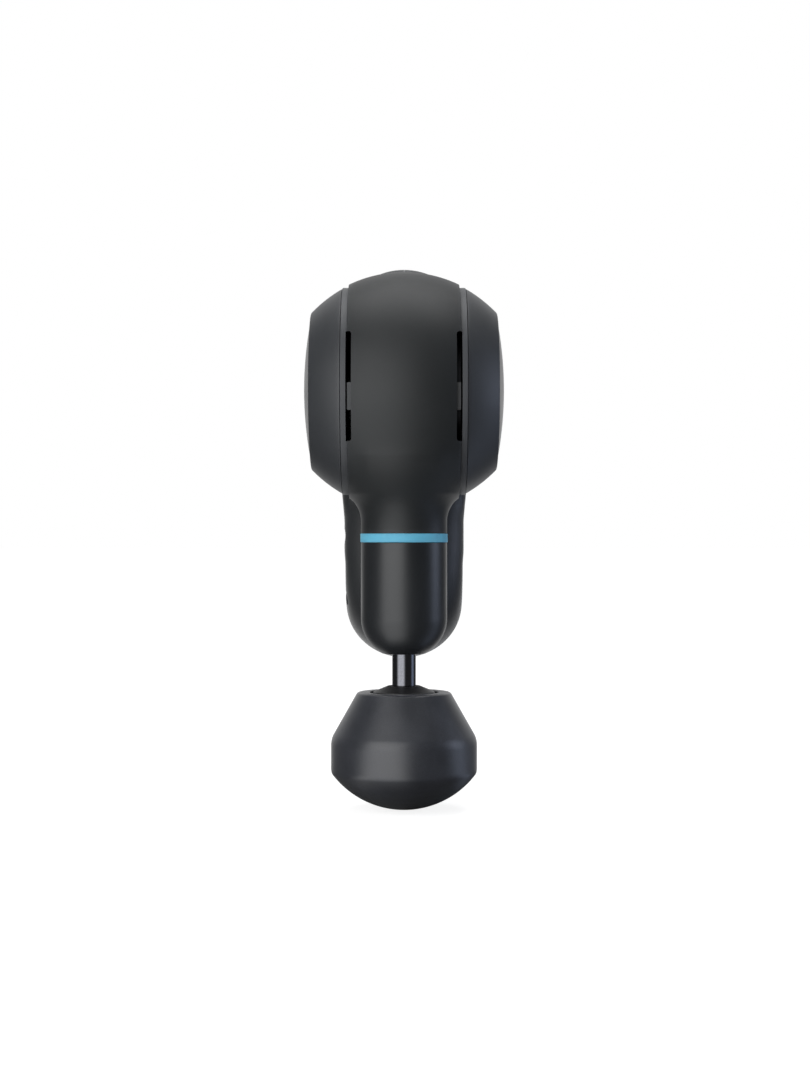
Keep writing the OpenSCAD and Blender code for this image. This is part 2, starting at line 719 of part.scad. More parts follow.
// The nose is a sleeve whose end is rounded by one arc down to a flat
nose_drop = neck_r - nose_flat_r;
nose_arc_r = (nose_drop * nose_drop + nose_round * nose_round) / (2 * nose_drop);
sleeve_bore_r = 7;
seal_r = 6.4;
seal_t = 1.5;
nose_land = 1.4;
nose_play = 0.8;
lower_bush_len = 12;
module nose_section() {
  translate([0, -(nose_end - nose_round)]) square([neck_r, nose_len - nose_round]);
  intersection() {
    translate([neck_r - nose_arc_r, -(nose_end - nose_round)]) circle(nose_arc_r, $fn = 180);
    translate([0, -nose_end]) square([neck_r, nose_round]);
  }
}
module nose_sleeve() color(charcoal) difference() {
  union() {
    rotate_extrude() nose_section();
    translate([0, 0, -ring_end - 1]) cylinder(r = neck_bore_r - run_fit, h = ring_end - spigot_top + 1);
  }
  translate([0, 0, -nose_end + seal_t + nose_land]) cylinder(r = sleeve_bore_r, h = nose_end);
  translate([0, 0, -nose_end - 1]) cylinder(r = shaft_r + nose_play, h = nose_round);
  translate([0, 0, -nose_end - 1]) cylinder(r = seal_r, h = seal_t + 1);
}
module nose_seal() color(black_rubber) translate([0, 0, -nose_end + 0.1]) difference() {
  cylinder(r = seal_r - seat_fit, h = seal_t - 0.1);
  translate([0, 0, -1]) cylinder(r = shaft_r + run_fit, h = seal_t + 2);
}
module shaft_bush(r, len) difference() {
  cylinder(r = r, h = len);
  translate([0, 0, -1]) cylinder(r = shaft_r + run_fit, h = len + 2);
}
module shaft_bush_upper() color(brass) translate([0, 0, -throat_z - bush_len])
  shaft_bush(neck_bore_r - seat_fit, bush_len);
module shaft_bush_lower() color(brass) translate([0, 0, -nose_end + seal_t + nose_land])
  shaft_bush(sleeve_bore_r - seat_fit, lower_bush_len);

// Motor on the drum axis, hung in the right trunnion; stations along X
crank_x = 4.2;
crank_t = 4.6;
can_x = crank_x + crank_t + 0.7;
can_end_x = cap_floor_x - cap_floor_t - face_gap;
can_len = can_end_x - can_x;
mount_t = 3;
mount_x = band_x - mount_t;
mount_r = boss_ring_r - boss_r - 0.6;
flange_t = 2;
motor_r = trunnion_bore_r - motor_gap;
flange_r = motor_r + 4.4;
can_wall = 1.1;
bearing_r = 7;
bearing_t = 3;
motor_screw_r = 1.25;
motor_screw_ring = motor_r + 2.3;
rotor_r = 12.5;
air_gap = 0.6;
rotor_x = can_x + can_wall + bearing_t + 0.4;
rotor_end_x = can_end_x - can_wall - bearing_t - 0.4;
stator_len = rotor_end_x - rotor_x - 2;
stator_rim = 2.2;
stator_slots = 9;
stator_slot_w = 1.8;
motor_screw_head_r = 2;
motor_screw_head_h = 1.4;

module motor_screw_row() for (t = [0 : 90 : 270]) rotate(t) translate([motor_screw_ring, 0, 0]) children();
module motor_mount() color(steel) along_x() translate([0, 0, mount_x]) difference() {
  cylinder(r = mount_r, h = mount_t);
  translate([0, 0, -1]) cylinder(r = motor_r + face_gap, h = mount_t + 2);
  motor_screw_row() translate([0, 0, -1]) cylinder(r = motor_screw_r + seat_fit, h = mount_t + 2);
}
module motor_can() color(dark_chrome) along_x() difference() {
  union() {
    translate([0, 0, can_x]) cylinder(r = motor_r, h = can_len);
    translate([0, 0, mount_x - flange_t]) cylinder(r = flange_r, h = flange_t);
  }
  difference() {
    translate([0, 0, can_x + can_wall]) cylinder(r = motor_r - can_wall, h = can_len - 2 * can_wall);
    translate([0, 0, can_x]) cylinder(r = bearing_r + can_wall, h = can_wall + bearing_t);
    translate([0, 0, can_end_x - can_wall - bearing_t])
      cylinder(r = bearing_r + can_wall, h = bearing_t + can_wall);
  }
  translate([0, 0, can_x + can_wall]) cylinder(r = bearing_r, h = can_len - 2 * can_wall);
  translate([0, 0, can_x - 1]) cylinder(r = motor_shaft_r + 1, h = can_wall + 2);
  motor_screw_row() translate([0, 0, mount_x - flange_t - 1])
    cylinder(r = motor_screw_r + run_fit, h = flange_t + 2);
}
module motor_stator() color(brass) along_x() translate([0, 0, rotor_x + 1]) difference() {
  cylinder(r = motor_r - can_wall - seat_fit, h = stator_len);
  translate([0, 0, -1]) cylinder(r = rotor_r + air_gap, h = stator_len + 2);
  for (t = [0 : 360 / stator_slots : 359]) rotate(t) translate([rotor_r, -stator_slot_w / 2, -1])
    cube([motor_r - can_wall - stator_rim - rotor_r, stator_slot_w, stator_len + 2]);
}
module motor_bearings() color(steel) along_x() for (x = [can_x + can_wall, can_end_x - can_wall - bearing_t])
  translate([0, 0, x]) difference() {
    cylinder(r = bearing_r - seat_fit, h = bearing_t);
    translate([0, 0, -1]) cylinder(r = motor_shaft_r + run_fit, h = bearing_t + 2);
  }
module motor_screws() color(steel) along_x() motor_screw_row() translate([0, 0, mount_x - flange_t]) {
  translate([0, 0, -motor_screw_head_h]) cylinder(r = motor_screw_head_r, h = motor_screw_head_h);
  translate([0, 0, -0.1]) cylinder(r = motor_screw_r, h = flange_t + mount_t - 0.3);
}
module motor_rotor() color(steel) along_x() {
  translate([0, 0, crank_x]) cylinder(r = motor_shaft_r, h = can_end_x - can_wall - crank_x - 0.3);
  translate([0, 0, rotor_x]) cylinder(r = rotor_r, h = rotor_end_x - rotor_x);
}

// At rest the crank stands level, at the middle of the stroke
throw = stroke / 2;
crank_r = 15;
crank_boss_r = motor_shaft_r + 4;
pin_r = 2.5;
web_half = pin_r + 2.6;
pin_tip_x = -3.6;
roller_half = 3.1;
module crank_disc() color(steel) along_x() translate([0, 0, crank_x]) difference() {
  union() {
    intersection() {
      cylinder(r = crank_r, h = crank_t);
      translate([-crank_r, -crank_r - 1, 0]) cube([2 * crank_r, crank_r - 1, crank_t]);
    }
    cylinder(r = crank_boss_r, h = crank_t);
    translate([0, throw, 0]) cylinder(r = web_half, h = crank_t);
    translate([-web_half, 0, 0]) cube([2 * web_half, throw, crank_t]);
  }
  translate([0, 0, -1]) cylinder(r = motor_shaft_r + seat_fit, h = crank_t + 2);
  translate([0, throw, -1]) cylinder(r = pin_r + seat_fit, h = crank_t + 2);
}
module crank_pin() color(steel) translate([pin_tip_x, throw, 0]) along_x()
  cylinder(r = pin_r, h = crank_x + crank_t - pin_tip_x);
module crank_roller() color(brass) translate([-roller_half, throw, 0]) along_x() difference() {
  cylinder(r = roller_r, h = 2 * roller_half);
  translate([0, 0, -1]) cylinder(r = pin_r + run_fit, h = 2 * roller_half + 2);
}

// Scotch yoke: the roller runs across its slot and drives the shaft up and down
yoke_half = 3;
slot_half = roller_r + yoke_play;
slot_reach = throw + 1;
yoke_rail = 4.4;
yoke_drop = 24;
yoke_boss_r = 7;
yoke_boss = 8;
shaft_top = yoke_drop + 1;
yoke_foot = yoke_drop + yoke_boss;
module slot_shape(r) {
  square([2 * slot_reach, 2 * r], center = true);
  for (side = [-1, 1]) translate([side * slot_reach, 0]) circle(r);
}
module yoke_shape() {
  square([2 * slot_reach, 2 * (slot_half + yoke_rail)], center = true);
  for (side = [-1, 1]) translate([side * slot_reach, 0]) circle(slot_half + yoke_rail);
}
module drive_yoke() color(graphite) difference() {
  union() {
    in_side_view() linear_extrude(2 * yoke_half, center = true) {
      yoke_shape();
      translate([-yoke_boss_r, -yoke_drop - 1]) square([2 * yoke_boss_r, yoke_drop + 1 - slot_half]);
    }
    translate([0, 0, -yoke_foot]) cylinder(r = yoke_boss_r, h = yoke_boss);
  }
  in_side_view() linear_extrude(4 * yoke_half, center = true) slot_shape(slot_half);
  translate([0, 0, -yoke_foot - 1]) cylinder(r = shaft_r + seat_fit, h = yoke_foot - shaft_top + 1);
}
tip_chamfer = 0.8;
module drive_shaft() color(dark_chrome) {
  translate([0, 0, -shaft_end + tip_chamfer])
    cylinder(r = shaft_r, h = shaft_end - tip_chamfer - shaft_top - seat_fit);
  translate([0, 0, -shaft_end]) cylinder(r1 = shaft_r - tip_chamfer, r2 = shaft_r, h = tip_chamfer);
}

// Massage head: a moulded hub that pushes onto the shaft, in a dense foam body
hub_rim = 0.6;
hub_core_r = 10.2;
hub_core_len = 20;
hub_foot = head_top + hub_core_len;
hub_foot_t = 3;
hub_foot_r = 15;
hub_top_r = 5.6;
o_ring_wire = 0.9;
o_ring_groove = 2;
o_ring_down = 6;
o_ring_depth = hub_top + o_ring_down;
recess_r = 12.4;
recess_d = 2.8;
module head_hub() color(black_rubber) difference() {
  union() {
    translate([0, 0, -head_top]) cylinder(r1 = hub_r, r2 = hub_top_r, h = hub_rise);
    translate([0, 0, -head_top - hub_rim]) cylinder(r = hub_r, h = hub_rim + 0.01);
    translate([0, 0, -hub_foot]) cylinder(r = hub_core_r, h = hub_foot - head_top);
    translate([0, 0, -hub_foot]) cylinder(r = hub_foot_r, h = hub_foot_t);
  }
  translate([0, 0, -shaft_end - face_gap]) cylinder(r = shaft_r + seat_fit, h = shaft_in_hub + 1);
  translate([0, 0, -o_ring_depth - o_ring_groove / 2])
    cylinder(r = shaft_r + 2 * o_ring_wire, h = o_ring_groove);
}
module head_o_ring() color(black_rubber) translate([0, 0, -o_ring_depth]) rotate_extrude()
  translate([shaft_r + o_ring_wire + run_fit, 0]) circle(o_ring_wire - run_fit);

// Foam outline: flat top, cone, straight side and a dome
dome_arc_r = (head_r * head_r + head_dome_h * head_dome_h) / (2 * head_dome_h);
module foam_body() {
  translate([0, 0, -cone_end]) cylinder(r1 = head_r, r2 = head_top_r, h = head_cone_h);
  translate([0, 0, -side_end]) cylinder(r = head_r, h = head_side_h);
  intersection() {
    translate([0, 0, -head_end + dome_arc_r]) sphere(dome_arc_r, $fn = 180);
    translate([0, 0, -head_end]) cylinder(r = head_r, h = head_dome_h + 1);
  }
}
module head_foam() color(foam_grey) difference() {
  foam_body();
  translate([0, 0, -head_top - recess_d]) cylinder(r = recess_r, h = recess_d + 1);
  translate([0, 0, -hub_foot]) cylinder(r = hub_core_r + seat_fit, h = hub_foot - head_top + 1);
  translate([0, 0, -hub_foot - seat_fit]) cylinder(r = hub_foot_r + seat_fit, h = hub_foot_t + 2 * seat_fit);
}

module from_grip() translate([0, -grip_y, -grip_z]) children();

from_grip() handle_shell_left();
from_grip() handle_shell_right();
from_grip() handle_screws();
from_grip() side_cap_left();
from_grip() side_cap_right();
from_grip() side_disc();
from_grip() pivot_bush_left();
from_grip() pivot_bush_right();
from_grip() battery_cells();
from_grip() battery_cradle();
from_grip() control_board();
from_grip() button_switch();
from_grip() charge_inlet();
from_grip() status_lights();
from_grip() power_button();
from_grip() release_button();
from_grip() release_stem();
from_grip() clutch_disc();
from_grip() release_spring();
from_grip() arm_housing();
from_grip() arm_plate_left();
from_grip() arm_plate_right();
from_grip() plate_screws();
from_grip() vent_tabs();
from_grip() accent_ring();
from_grip() nose_sleeve();
from_grip() nose_seal();
from_grip() shaft_bush_upper();
from_grip() shaft_bush_lower();
from_grip() motor_mount();
from_grip() motor_can();
from_grip() motor_stator();
from_grip() motor_bearings();
from_grip() motor_screws();
from_grip() motor_rotor();
from_grip() crank_disc();
from_grip() crank_pin();
from_grip() crank_roller();
from_grip() drive_yoke();
from_grip() drive_shaft();
from_grip() head_hub();
from_grip() head_o_ring();
from_grip() head_foam();
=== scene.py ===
import math
import bmesh
import bpy
import numpy as np
from mathutils import Matrix, Vector


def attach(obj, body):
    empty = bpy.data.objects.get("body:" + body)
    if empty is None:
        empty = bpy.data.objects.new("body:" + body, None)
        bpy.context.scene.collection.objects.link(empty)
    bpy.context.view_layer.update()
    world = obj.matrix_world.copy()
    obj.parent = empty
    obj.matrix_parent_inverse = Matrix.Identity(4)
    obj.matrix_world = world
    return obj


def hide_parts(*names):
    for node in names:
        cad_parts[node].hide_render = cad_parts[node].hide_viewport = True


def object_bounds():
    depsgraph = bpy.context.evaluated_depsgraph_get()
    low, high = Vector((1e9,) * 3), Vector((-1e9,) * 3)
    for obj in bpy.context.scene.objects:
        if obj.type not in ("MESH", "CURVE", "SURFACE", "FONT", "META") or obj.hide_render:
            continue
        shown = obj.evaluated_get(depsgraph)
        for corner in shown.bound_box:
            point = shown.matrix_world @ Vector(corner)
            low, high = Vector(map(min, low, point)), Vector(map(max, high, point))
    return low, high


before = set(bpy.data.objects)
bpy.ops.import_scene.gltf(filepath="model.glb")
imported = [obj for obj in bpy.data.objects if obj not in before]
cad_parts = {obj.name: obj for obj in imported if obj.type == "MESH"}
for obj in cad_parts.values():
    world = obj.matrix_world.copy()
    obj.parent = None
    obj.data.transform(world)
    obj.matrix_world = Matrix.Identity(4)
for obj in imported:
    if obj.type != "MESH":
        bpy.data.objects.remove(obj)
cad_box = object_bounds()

# Camera: it stands square in front of the drum, a little below its middle, with a long lens.
# The drum's axis lies 70 mm in front of the grip on the top bar and 26 mm below it.
drum = Vector((0, -0.070, -0.026))
camera = bpy.data.objects.new("camera", bpy.data.cameras.new("camera"))
camera.data.lens = 63.9
camera.data.sensor_width = 36
camera.location = drum + Vector((0.00035, -0.690, -0.05333))
camera.rotation_euler = (math.pi / 2, 0, 0)
bpy.context.scene.collection.objects.link(camera)
bpy.context.scene.camera = camera
bpy.context.scene.view_settings.view_transform = "Standard"


# Studio: a white paper floor just under the head, in a white room.
# Paper is bright and flat, so it throws light back up under the tool and takes a faint shadow.
# To the camera it glows white; in reflections it shows painted light: a glowing pool in front on the left,
# a glow behind and a cool blue band on the right, with painted shade near the head and the paper painted
# dark.
def linear(code):
    rgb = [int(code[i:i + 2], 16) / 255 for i in (1, 3, 5)]
    return [c / 12.92 if c <= 0.04045 else ((c + 0.055) / 1.055) ** 2.4 for c in rgb] + [1]


def add(tree, kind, links={}, **settings):
    node = tree.nodes.new("ShaderNode" + kind)
    for key, value in settings.items():
        if hasattr(node, key):
            setattr(node, key, value)
        else:
            node.inputs[key.replace("_", " ")].default_value = value
    for socket, source in links.items():
        if isinstance(source, (int, float)):
            node.inputs[socket].default_value = source
        else:
            tree.links.new(source, node.inputs[socket])
    return node


paper = bpy.data.materials.new("white_paper_with_painted_glow")
paper.use_nodes = True
tree = paper.node_tree
tree.nodes.clear()
path = add(tree, "LightPath")
mirrored = add(tree, "Math", {0: path.outputs["Is Glossy Ray"], 1: path.outputs["Is Transmission Ray"]},
               operation="MAXIMUM")
place = add(tree, "TexCoord")
front = add(tree, "Mapping", {"Vector": place.outputs["Object"]}, Location=(0, drum.y, 0), Scale=(1, -1, 1))
away = add(tree, "VectorMath", {0: front.outputs[0]}, operation="LENGTH")
spot = add(tree, "SeparateXYZ", {"Vector": front.outputs[0]})
side = add(tree, "Math", {0: spot.outputs["X"], 1: spot.outputs["Y"]}, operation="ARCTAN2")
off = add(tree, "Math", {0: side.outputs[0], 1: math.radians(30)}, operation="ADD")
off = add(tree, "Math", {0: off.outputs[0]}, operation="ABSOLUTE")
# Painted reflection: a glowing pool on the floor in front on the left, seen only in reflections.
painted_light_pool = add(tree, "MapRange", {"Value": off.outputs[0]}, interpolation_type="SMOOTHSTEP",
           From_Min=0.35, From_Max=0.80, To_Min=2.9, To_Max=0.05)
round_back = add(tree, "Math", {0: side.outputs[0]}, operation="ABSOLUTE")
# Painted reflection: a glow on the floor behind the tool, seen only in reflections.
painted_rear_glow = add(tree, "MapRange", {"Value": round_back.outputs[0]}, From_Min=2.35, From_Max=2.75, To_Max=0.9)
painted_glow_sum = add(tree, "Math", {0: painted_light_pool.outputs[0], 1: painted_rear_glow.outputs[0]}, operation="ADD")
# Painted shade: the reflected glows fade out close under the head.
clear = add(tree, "MapRange", {"Value": away.outputs["Value"]}, From_Min=0.022, From_Max=0.06, To_Min=0.01)
painted_reflected_glow = add(tree, "Math", {0: painted_glow_sum.outputs[0], 1: clear.outputs[0]}, operation="MULTIPLY")
far_floor = add(tree, "MapRange", {"Value": away.outputs["Value"]}, From_Min=0.4, From_Max=2.0,
                To_Min=0.86, To_Max=0.97)
# The white glow faces the camera; the painted glows show only in reflections.
white_and_painted_glow = add(tree, "Math", {0: mirrored.outputs[0], 1: painted_reflected_glow.outputs[0]}, operation="MULTIPLY")
white_and_painted_glow = add(tree, "MapRange", {"Value": path.outputs["Is Camera Ray"], "To Min": white_and_painted_glow.outputs[0],
                              "To Max": far_floor.outputs[0]})
fleck = add(tree, "TexNoise", Scale=900, Detail=2)
paper_tone_painted_dark_in_reflections = add(tree, "MapRange", {"Value": fleck.outputs["Fac"]}, To_Min=0.33, To_Max=0.37)
# Painted shade: in reflections the paper is painted almost black.
paper_tone_painted_dark_in_reflections = add(tree, "MapRange", {"Value": mirrored.outputs[0], "To Min": paper_tone_painted_dark_in_reflections.outputs[0]}, To_Max=0.04)
sheet_face = add(tree, "BsdfDiffuse", {"Color": paper_tone_painted_dark_in_reflections.outputs[0]})
white_and_painted_glow_face = add(tree, "Emission", {"Strength": white_and_painted_glow.outputs[0]}, Color=linear("#ffffff"))
both = add(tree, "AddShader", {0: sheet_face.outputs[0], 1: white_and_painted_glow_face.outputs[0]})
# Painted reflection: a cool blue band of glow on the floor to the right, seen only in reflections.
off = add(tree, "Math", {0: side.outputs[0], 1: math.radians(92)}, operation="SUBTRACT")
off = add(tree, "Math", {0: off.outputs[0]}, operation="ABSOLUTE")
painted_cool_reflection = add(tree, "MapRange", {"Value": off.outputs[0]}, interpolation_type="SMOOTHSTEP",
           From_Min=0.08, From_Max=0.40, To_Min=1.0, To_Max=0)
painted_cool_reflection = add(tree, "Math", {0: painted_cool_reflection.outputs[0], 1: mirrored.outputs[0]}, operation="MULTIPLY")
painted_cool_reflection = add(tree, "Math", {0: painted_cool_reflection.outputs[0], 1: clear.outputs[0]}, operation="MULTIPLY")
painted_cool_reflection_face = add(tree, "Emission", {"Strength": painted_cool_reflection.outputs[0]}, Color=linear("#d0e0ff"))
both = add(tree, "AddShader", {0: both.outputs[0], 1: painted_cool_reflection_face.outputs[0]})
add(tree, "OutputMaterial", {"Surface": both.outputs[0]})

bm = bmesh.new()
bmesh.ops.create_grid(bm, x_segments=2, y_segments=2, size=20)
floor_mesh = bpy.data.meshes.new("floor")
bm.to_mesh(floor_mesh)
bm.free()
floor = bpy.data.objects.new("floor", floor_mesh)
floor.location = (0, 0, cad_box[0].z - 0.0004)
floor_mesh.materials.append(paper)
bpy.context.scene.collection.objects.link(floor)

room = bpy.data.worlds.new("white_room")
bpy.context.scene.world = room
room.use_nodes = True
tree = room.node_tree
tree.nodes.clear()
path = add(tree, "LightPath")
mirrored = add(tree, "Math", {0: path.outputs["Is Glossy Ray"], 1: path.outputs["Is Transmission Ray"]},
               operation="MAXIMUM")
place = add(tree, "TexCoord")
aim = add(tree, "SeparateXYZ", {"Vector": place.outputs["Generated"]})
rise = add(tree, "Math", {0: aim.outputs["Z"], 1: 0.4, 2: aim.outputs["Y"]}, operation="MULTIPLY_ADD")
behind = add(tree, "MapRange", {"Value": rise.outputs[0]}, From_Min=0.6, From_Max=1.0,
             To_Min=0.05, To_Max=1.0)
level = add(tree, "MapRange", {"Value": mirrored.outputs[0], "To Max": behind.outputs[0]}, To_Min=0.18)
level = add(tree, "MapRange", {"Value": path.outputs["Is Camera Ray"], "To Min": level.outputs[0]},
            To_Max=1.0)
air = add(tree, "Background", {"Strength": level.outputs[0]}, Color=linear("#ffffff"))
add(tree, "OutputWorld", {"Surface": air.outputs[0]})

# Lamps: a large softbox in front on the left, a slim cool one on the right and a broad one overhead.
# Each is a cloth-fronted box, so the lights in the dark plastic have soft ends.
for name, place, aim, wide, high, watts, tint in (
        ("softbox_left", (-0.40, -0.76, 0.19), (0, -0.07, -0.02), 0.95, 0.74, 7.6, "#ffffff"),
        ("softbox_right", (0.98, -0.05, -0.05), (0, -0.07, -0.08), 0.42, 0.80, 3.4, "#d8e4ff"),
        ("softbox_top", (0.0, -0.04, 0.80), (0, -0.05, -0.03), 1.00, 0.70, 7.5, "#ffffff")):
    lamp = bpy.data.lights.new(name, "AREA")
    lamp.shape = "RECTANGLE"
    lamp.size = wide
    lamp.size_y = high
    lamp.energy = watts
    lamp.color = linear(tint)[:3]
    lamp_ob = bpy.data.objects.new(name, lamp)
    lamp_ob.location = place
    lamp_ob.rotation_euler = (Vector(aim) - Vector(place)).to_track_quat("-Z", "Y").to_euler()
    bpy.context.scene.collection.objects.link(lamp_ob)


# Handle shells: two mouldings of glass-filled nylon that meet on the middle plane of the loop and are
# screwed together from the left. Each is one skin: the bars of the loop, the hood over the drum and the fork
# that holds it. Lengths are in mm from the drum's axis.
def smooth_min(a, b, k):
    h = np.maximum(k - np.abs(a - b), 0) / k
    return np.minimum(a, b) - h * h * k / 4


def smooth_max(a, b, k):
    return -smooth_min(-a, -b, k)


bar_half_wide = 22.4
bar_half_thick = 14.5
corner_r = 20.0
bar_slope = math.radians(10)
grip = np.array([70.0, 26.0])
drum_room = 43.9
cheek_in, cheek_out = 22.2, 24.6
fork_half_wide = bar_half_wide + 0.4
hub_half_thick = 8.0
front_y, low_z, rear_y = 35.0, 62.1, 97.5
hub_y = drum_room + hub_half_thick
up_dir = np.array([math.sin(bar_slope), math.cos(bar_slope)])
rear_drop = (rear_y - grip[0] + corner_r * up_dir[0]) * math.tan(bar_slope)
rear_c = np.array([rear_y, grip[1] - corner_r * up_dir[1] - rear_drop])
low_c = np.array([front_y + corner_r, -low_z])
top_c = np.array([hub_y + corner_r, rear_c[1] + (rear_y - hub_y - corner_r) * math.tan(bar_slope)])
low_angle = math.atan2(rear_c[1] - low_c[1], rear_c[0] - low_c[0])
sway_foot, sway_top = -low_z + 4, -8.0
sway_turn = 2 * math.atan2(hub_y - front_y, sway_top - sway_foot)
sway_r = (sway_top - sway_foot) / 2 / math.sin(sway_turn)


def bend(centre, r, start, end, first, last, steps):
    t = np.linspace(start, end, steps + 1)[:, None]
    k = (t - start) / (end - start)
    size = np.array(first) * (1 - k) + np.array(last) * k
    return np.hstack([centre + r * np.hstack([np.cos(t), np.sin(t)]), size])


low_swell, low_sink = 2.3, 4.2
low_size = (bar_half_wide - 0.2, bar_half_thick, low_swell, low_sink)
toe_size = (bar_half_wide - 0.2, bar_half_thick, 0, 0)
front_size = (bar_half_wide + 0.12, bar_half_thick, 0, 0)
sway_size = (bar_half_wide + 0.24, bar_half_thick * 0.45 + hub_half_thick * 0.55, 0, 0)
hub_size = (fork_half_wide, hub_half_thick, 0, 0)
top_size = (bar_half_wide + 0.2, bar_half_thick, 0, 0)
rear_size = (bar_half_wide, bar_half_thick, 0, 0)
quarter = math.pi / 2
sway_low_c = np.array([front_y + sway_r, sway_foot])
sway_high_c = np.array([hub_y - sway_r, sway_top])
loop = np.vstack([
    bend(sway_low_c, sway_r, math.pi, math.pi - sway_turn, front_size, sway_size, 14),
    bend(sway_high_c, sway_r, -sway_turn, 0, sway_size, hub_size, 14),
    bend(top_c, corner_r, math.pi, quarter - bar_slope, hub_size, top_size, 24),
    bend(rear_c, corner_r, quarter - bar_slope, low_angle - quarter, rear_size, rear_size, 30),
    bend(low_c, corner_r, low_angle - quarter, -quarter, low_size, low_size, 12),
    bend(low_c, corner_r, -quarter, -math.pi, low_size, toe_size, 20)])
loop = np.vstack([loop, loop[:1]])


def oval_depth(across, along, a, b):
    g = np.sqrt((across / a) ** 2 + (along / b) ** 2) + 1e-9
    slope = np.sqrt((across / a ** 2) ** 2 + (along / b ** 2) ** 2) + 1e-9
    return (g - 1) * g / slope


def loop_depth(p):
    best = np.full(len(p), 1e9)
    section = np.zeros((len(p), 5))
    for start, end in zip(loop[:-1], loop[1:]):
        d = end[:2] - start[:2]
        if d @ d < 1e-9:
            continue
        t = np.clip(((p[:, 1:] - start[:2]) @ d) / (d @ d), 0, 1)
        off = p[:, 1:] - start[:2] - t[:, None] * d
        far = np.hypot(off[:, 0], off[:, 1])
        near = far < best
        best = np.where(near, far, best)
        outward = np.sign(off[:, 1] * d[0] - off[:, 0] * d[1]) * far
        here = np.column_stack([start[2:] + t[:, None] * (end[2:] - start[2:]), outward])
        section = np.where(near[:, None], here, section)
    a, b, swell, sink, outward = section.T
    rise = outward + sink
    return oval_depth(p[:, 0], rise, a, np.where(rise > 0, b + swell + sink, b - sink))


hood_from, hood_to = 23.5, 80.0
hood_half_wide, hood_half_high = 20.9, 13.0
fan_from, fan_to = math.radians(-45), math.radians(40)
fan_in_r, fan_thin_r, fan_r = 30.6, 45.6, 56.0
fan_foot, fan_taper = 10.0, 5.6


def handle_depth(p):
    x, y, z = np.abs(p[:, 0]), p[:, 1], p[:, 2]
    r, turn = np.hypot(y, z), np.arctan2(z, y)
    body = loop_depth(p)
    run = (y - grip[0]) * math.cos(bar_slope) - (z - grip[1]) * math.sin(bar_slope)
    rise = (y - grip[0]) * up_dir[0] + (z - grip[1]) * up_dir[1]
    k = np.clip((hood_to - grip[0] - run) / (hood_to - hood_from), 0, 1)
    swelling = np.clip(2.2 * k, 0, 1)
    slimming = np.clip(2.2 * k - 1, 0, 1.2)
    half_wide = hood_half_wide + 0.4 * swelling - 1.9 * slimming
    hood = oval_depth(x, rise, half_wide, hood_half_high + 1.8 * swelling)
    hood = smooth_max(hood, (hood_from - grip[0]) / math.cos(bar_slope) - run, 5)
    hood = smooth_max(hood, run - (hood_to - grip[0]), 2)
    body = smooth_min(body, hood, 2.5)
    edge = np.clip((r - fan_thin_r) / (fan_r - fan_thin_r), 0, 1)
    fan = smooth_max(x - (cheek_out - fan_taper * edge), r - fan_r, 4)
    fan = smooth_max(fan, np.abs(turn - (fan_from + fan_to) / 2) * r - (fan_to - fan_from) / 2 * r, 6)
    fan = np.maximum(np.maximum(fan, fan_in_r - r), fan_foot - x)
    body = smooth_min(body, fan, 8)
    room = np.maximum(r - drum_room, x - cheek_in)
    return smooth_max(body, -room, 0.9)


def skin(depth, low, high, step, rounds=3):
    axes = [np.arange(a, b + step, step) for a, b in zip(low, high)]
    grid = np.stack(np.meshgrid(*axes, indexing="ij"), -1)
    inside = depth(grid.reshape(-1, 3)).reshape(grid.shape[:3]) < 0
    n = np.array(inside.shape) - 1
    count = sum(inside[i:i + n[0], j:j + n[1], k:k + n[2]].astype(int)
                for i in (0, 1) for j in (0, 1) for k in (0, 1))
    cells = np.argwhere((count > 0) & (count < 8))
    index = np.full(n, -1)
    index[tuple(cells.T)] = np.arange(len(cells))
    quads = []
    for d in range(3):
        e, g = (d + 1) % 3, (d + 2) % 3
        here = np.take(inside, range(n[d]), d)
        there = np.take(inside, range(1, n[d] + 1), d)
        for outward in (True, False):
            at = np.argwhere(here & ~there if outward else ~here & there)
            at = at[(at[:, e] > 0) & (at[:, g] > 0) & (at[:, e] < n[e]) & (at[:, g] < n[g])]
            ring = []
            for back_e, back_g in ((1, 1), (0, 1), (0, 0), (1, 0)):
                c = at.copy()
                c[:, e] -= back_e
                c[:, g] -= back_g
                ring.append(index[tuple(c.T)])
            quads.append(np.stack(ring if outward else ring[::-1], 1))
    quads = np.vstack(quads)
    quads = quads[(quads >= 0).all(1)]
    p = np.array(low) + (cells + 0.5) * step
    ends = np.vstack([quads[:, [i, (i + 1) % 4]] for i in range(4)])
    for turn in range(rounds):
        if turn:
            total, hits = np.zeros_like(p), np.zeros(len(p))
            np.add.at(total, ends[:, 0], p[ends[:, 1]])
            np.add.at(hits, ends[:, 0], 1)
            p = p * 0.5 + 0.5 * total / np.maximum(hits, 1)[:, None]
        for _ in range(4):
            f = depth(p)
            slope = np.stack([(depth(p + h) - depth(p - h)) / 0.02 for h in np.eye(3) * 0.01], 1)
            move = (f / np.maximum((slope ** 2).sum(1), 0.2))[:, None] * slope
            size = np.linalg.norm(move, axis=1, keepdims=True)
            p = p - move * np.minimum(1, 0.6 * step / np.maximum(size, 1e-9))
    return p, quads


def piece(name, points, faces, body, material, keen=35):
    mesh = bpy.data.meshes.new(name)
    places = np.asarray(points) * 0.001 + np.array(drum)
    mesh.from_pydata(places.tolist(), [], [list(map(int, f)) for f in faces])
    mesh.materials.append(material)
    ob = bpy.data.objects.new(name, mesh)
    bpy.context.scene.collection.objects.link(ob)
    if body:
        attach(ob, body)
    settle(ob, keen)
    return ob


def settle(ob, keen):
    ob.data.shade_smooth()
    ob.data.set_sharp_from_angle(angle=math.radians(keen))


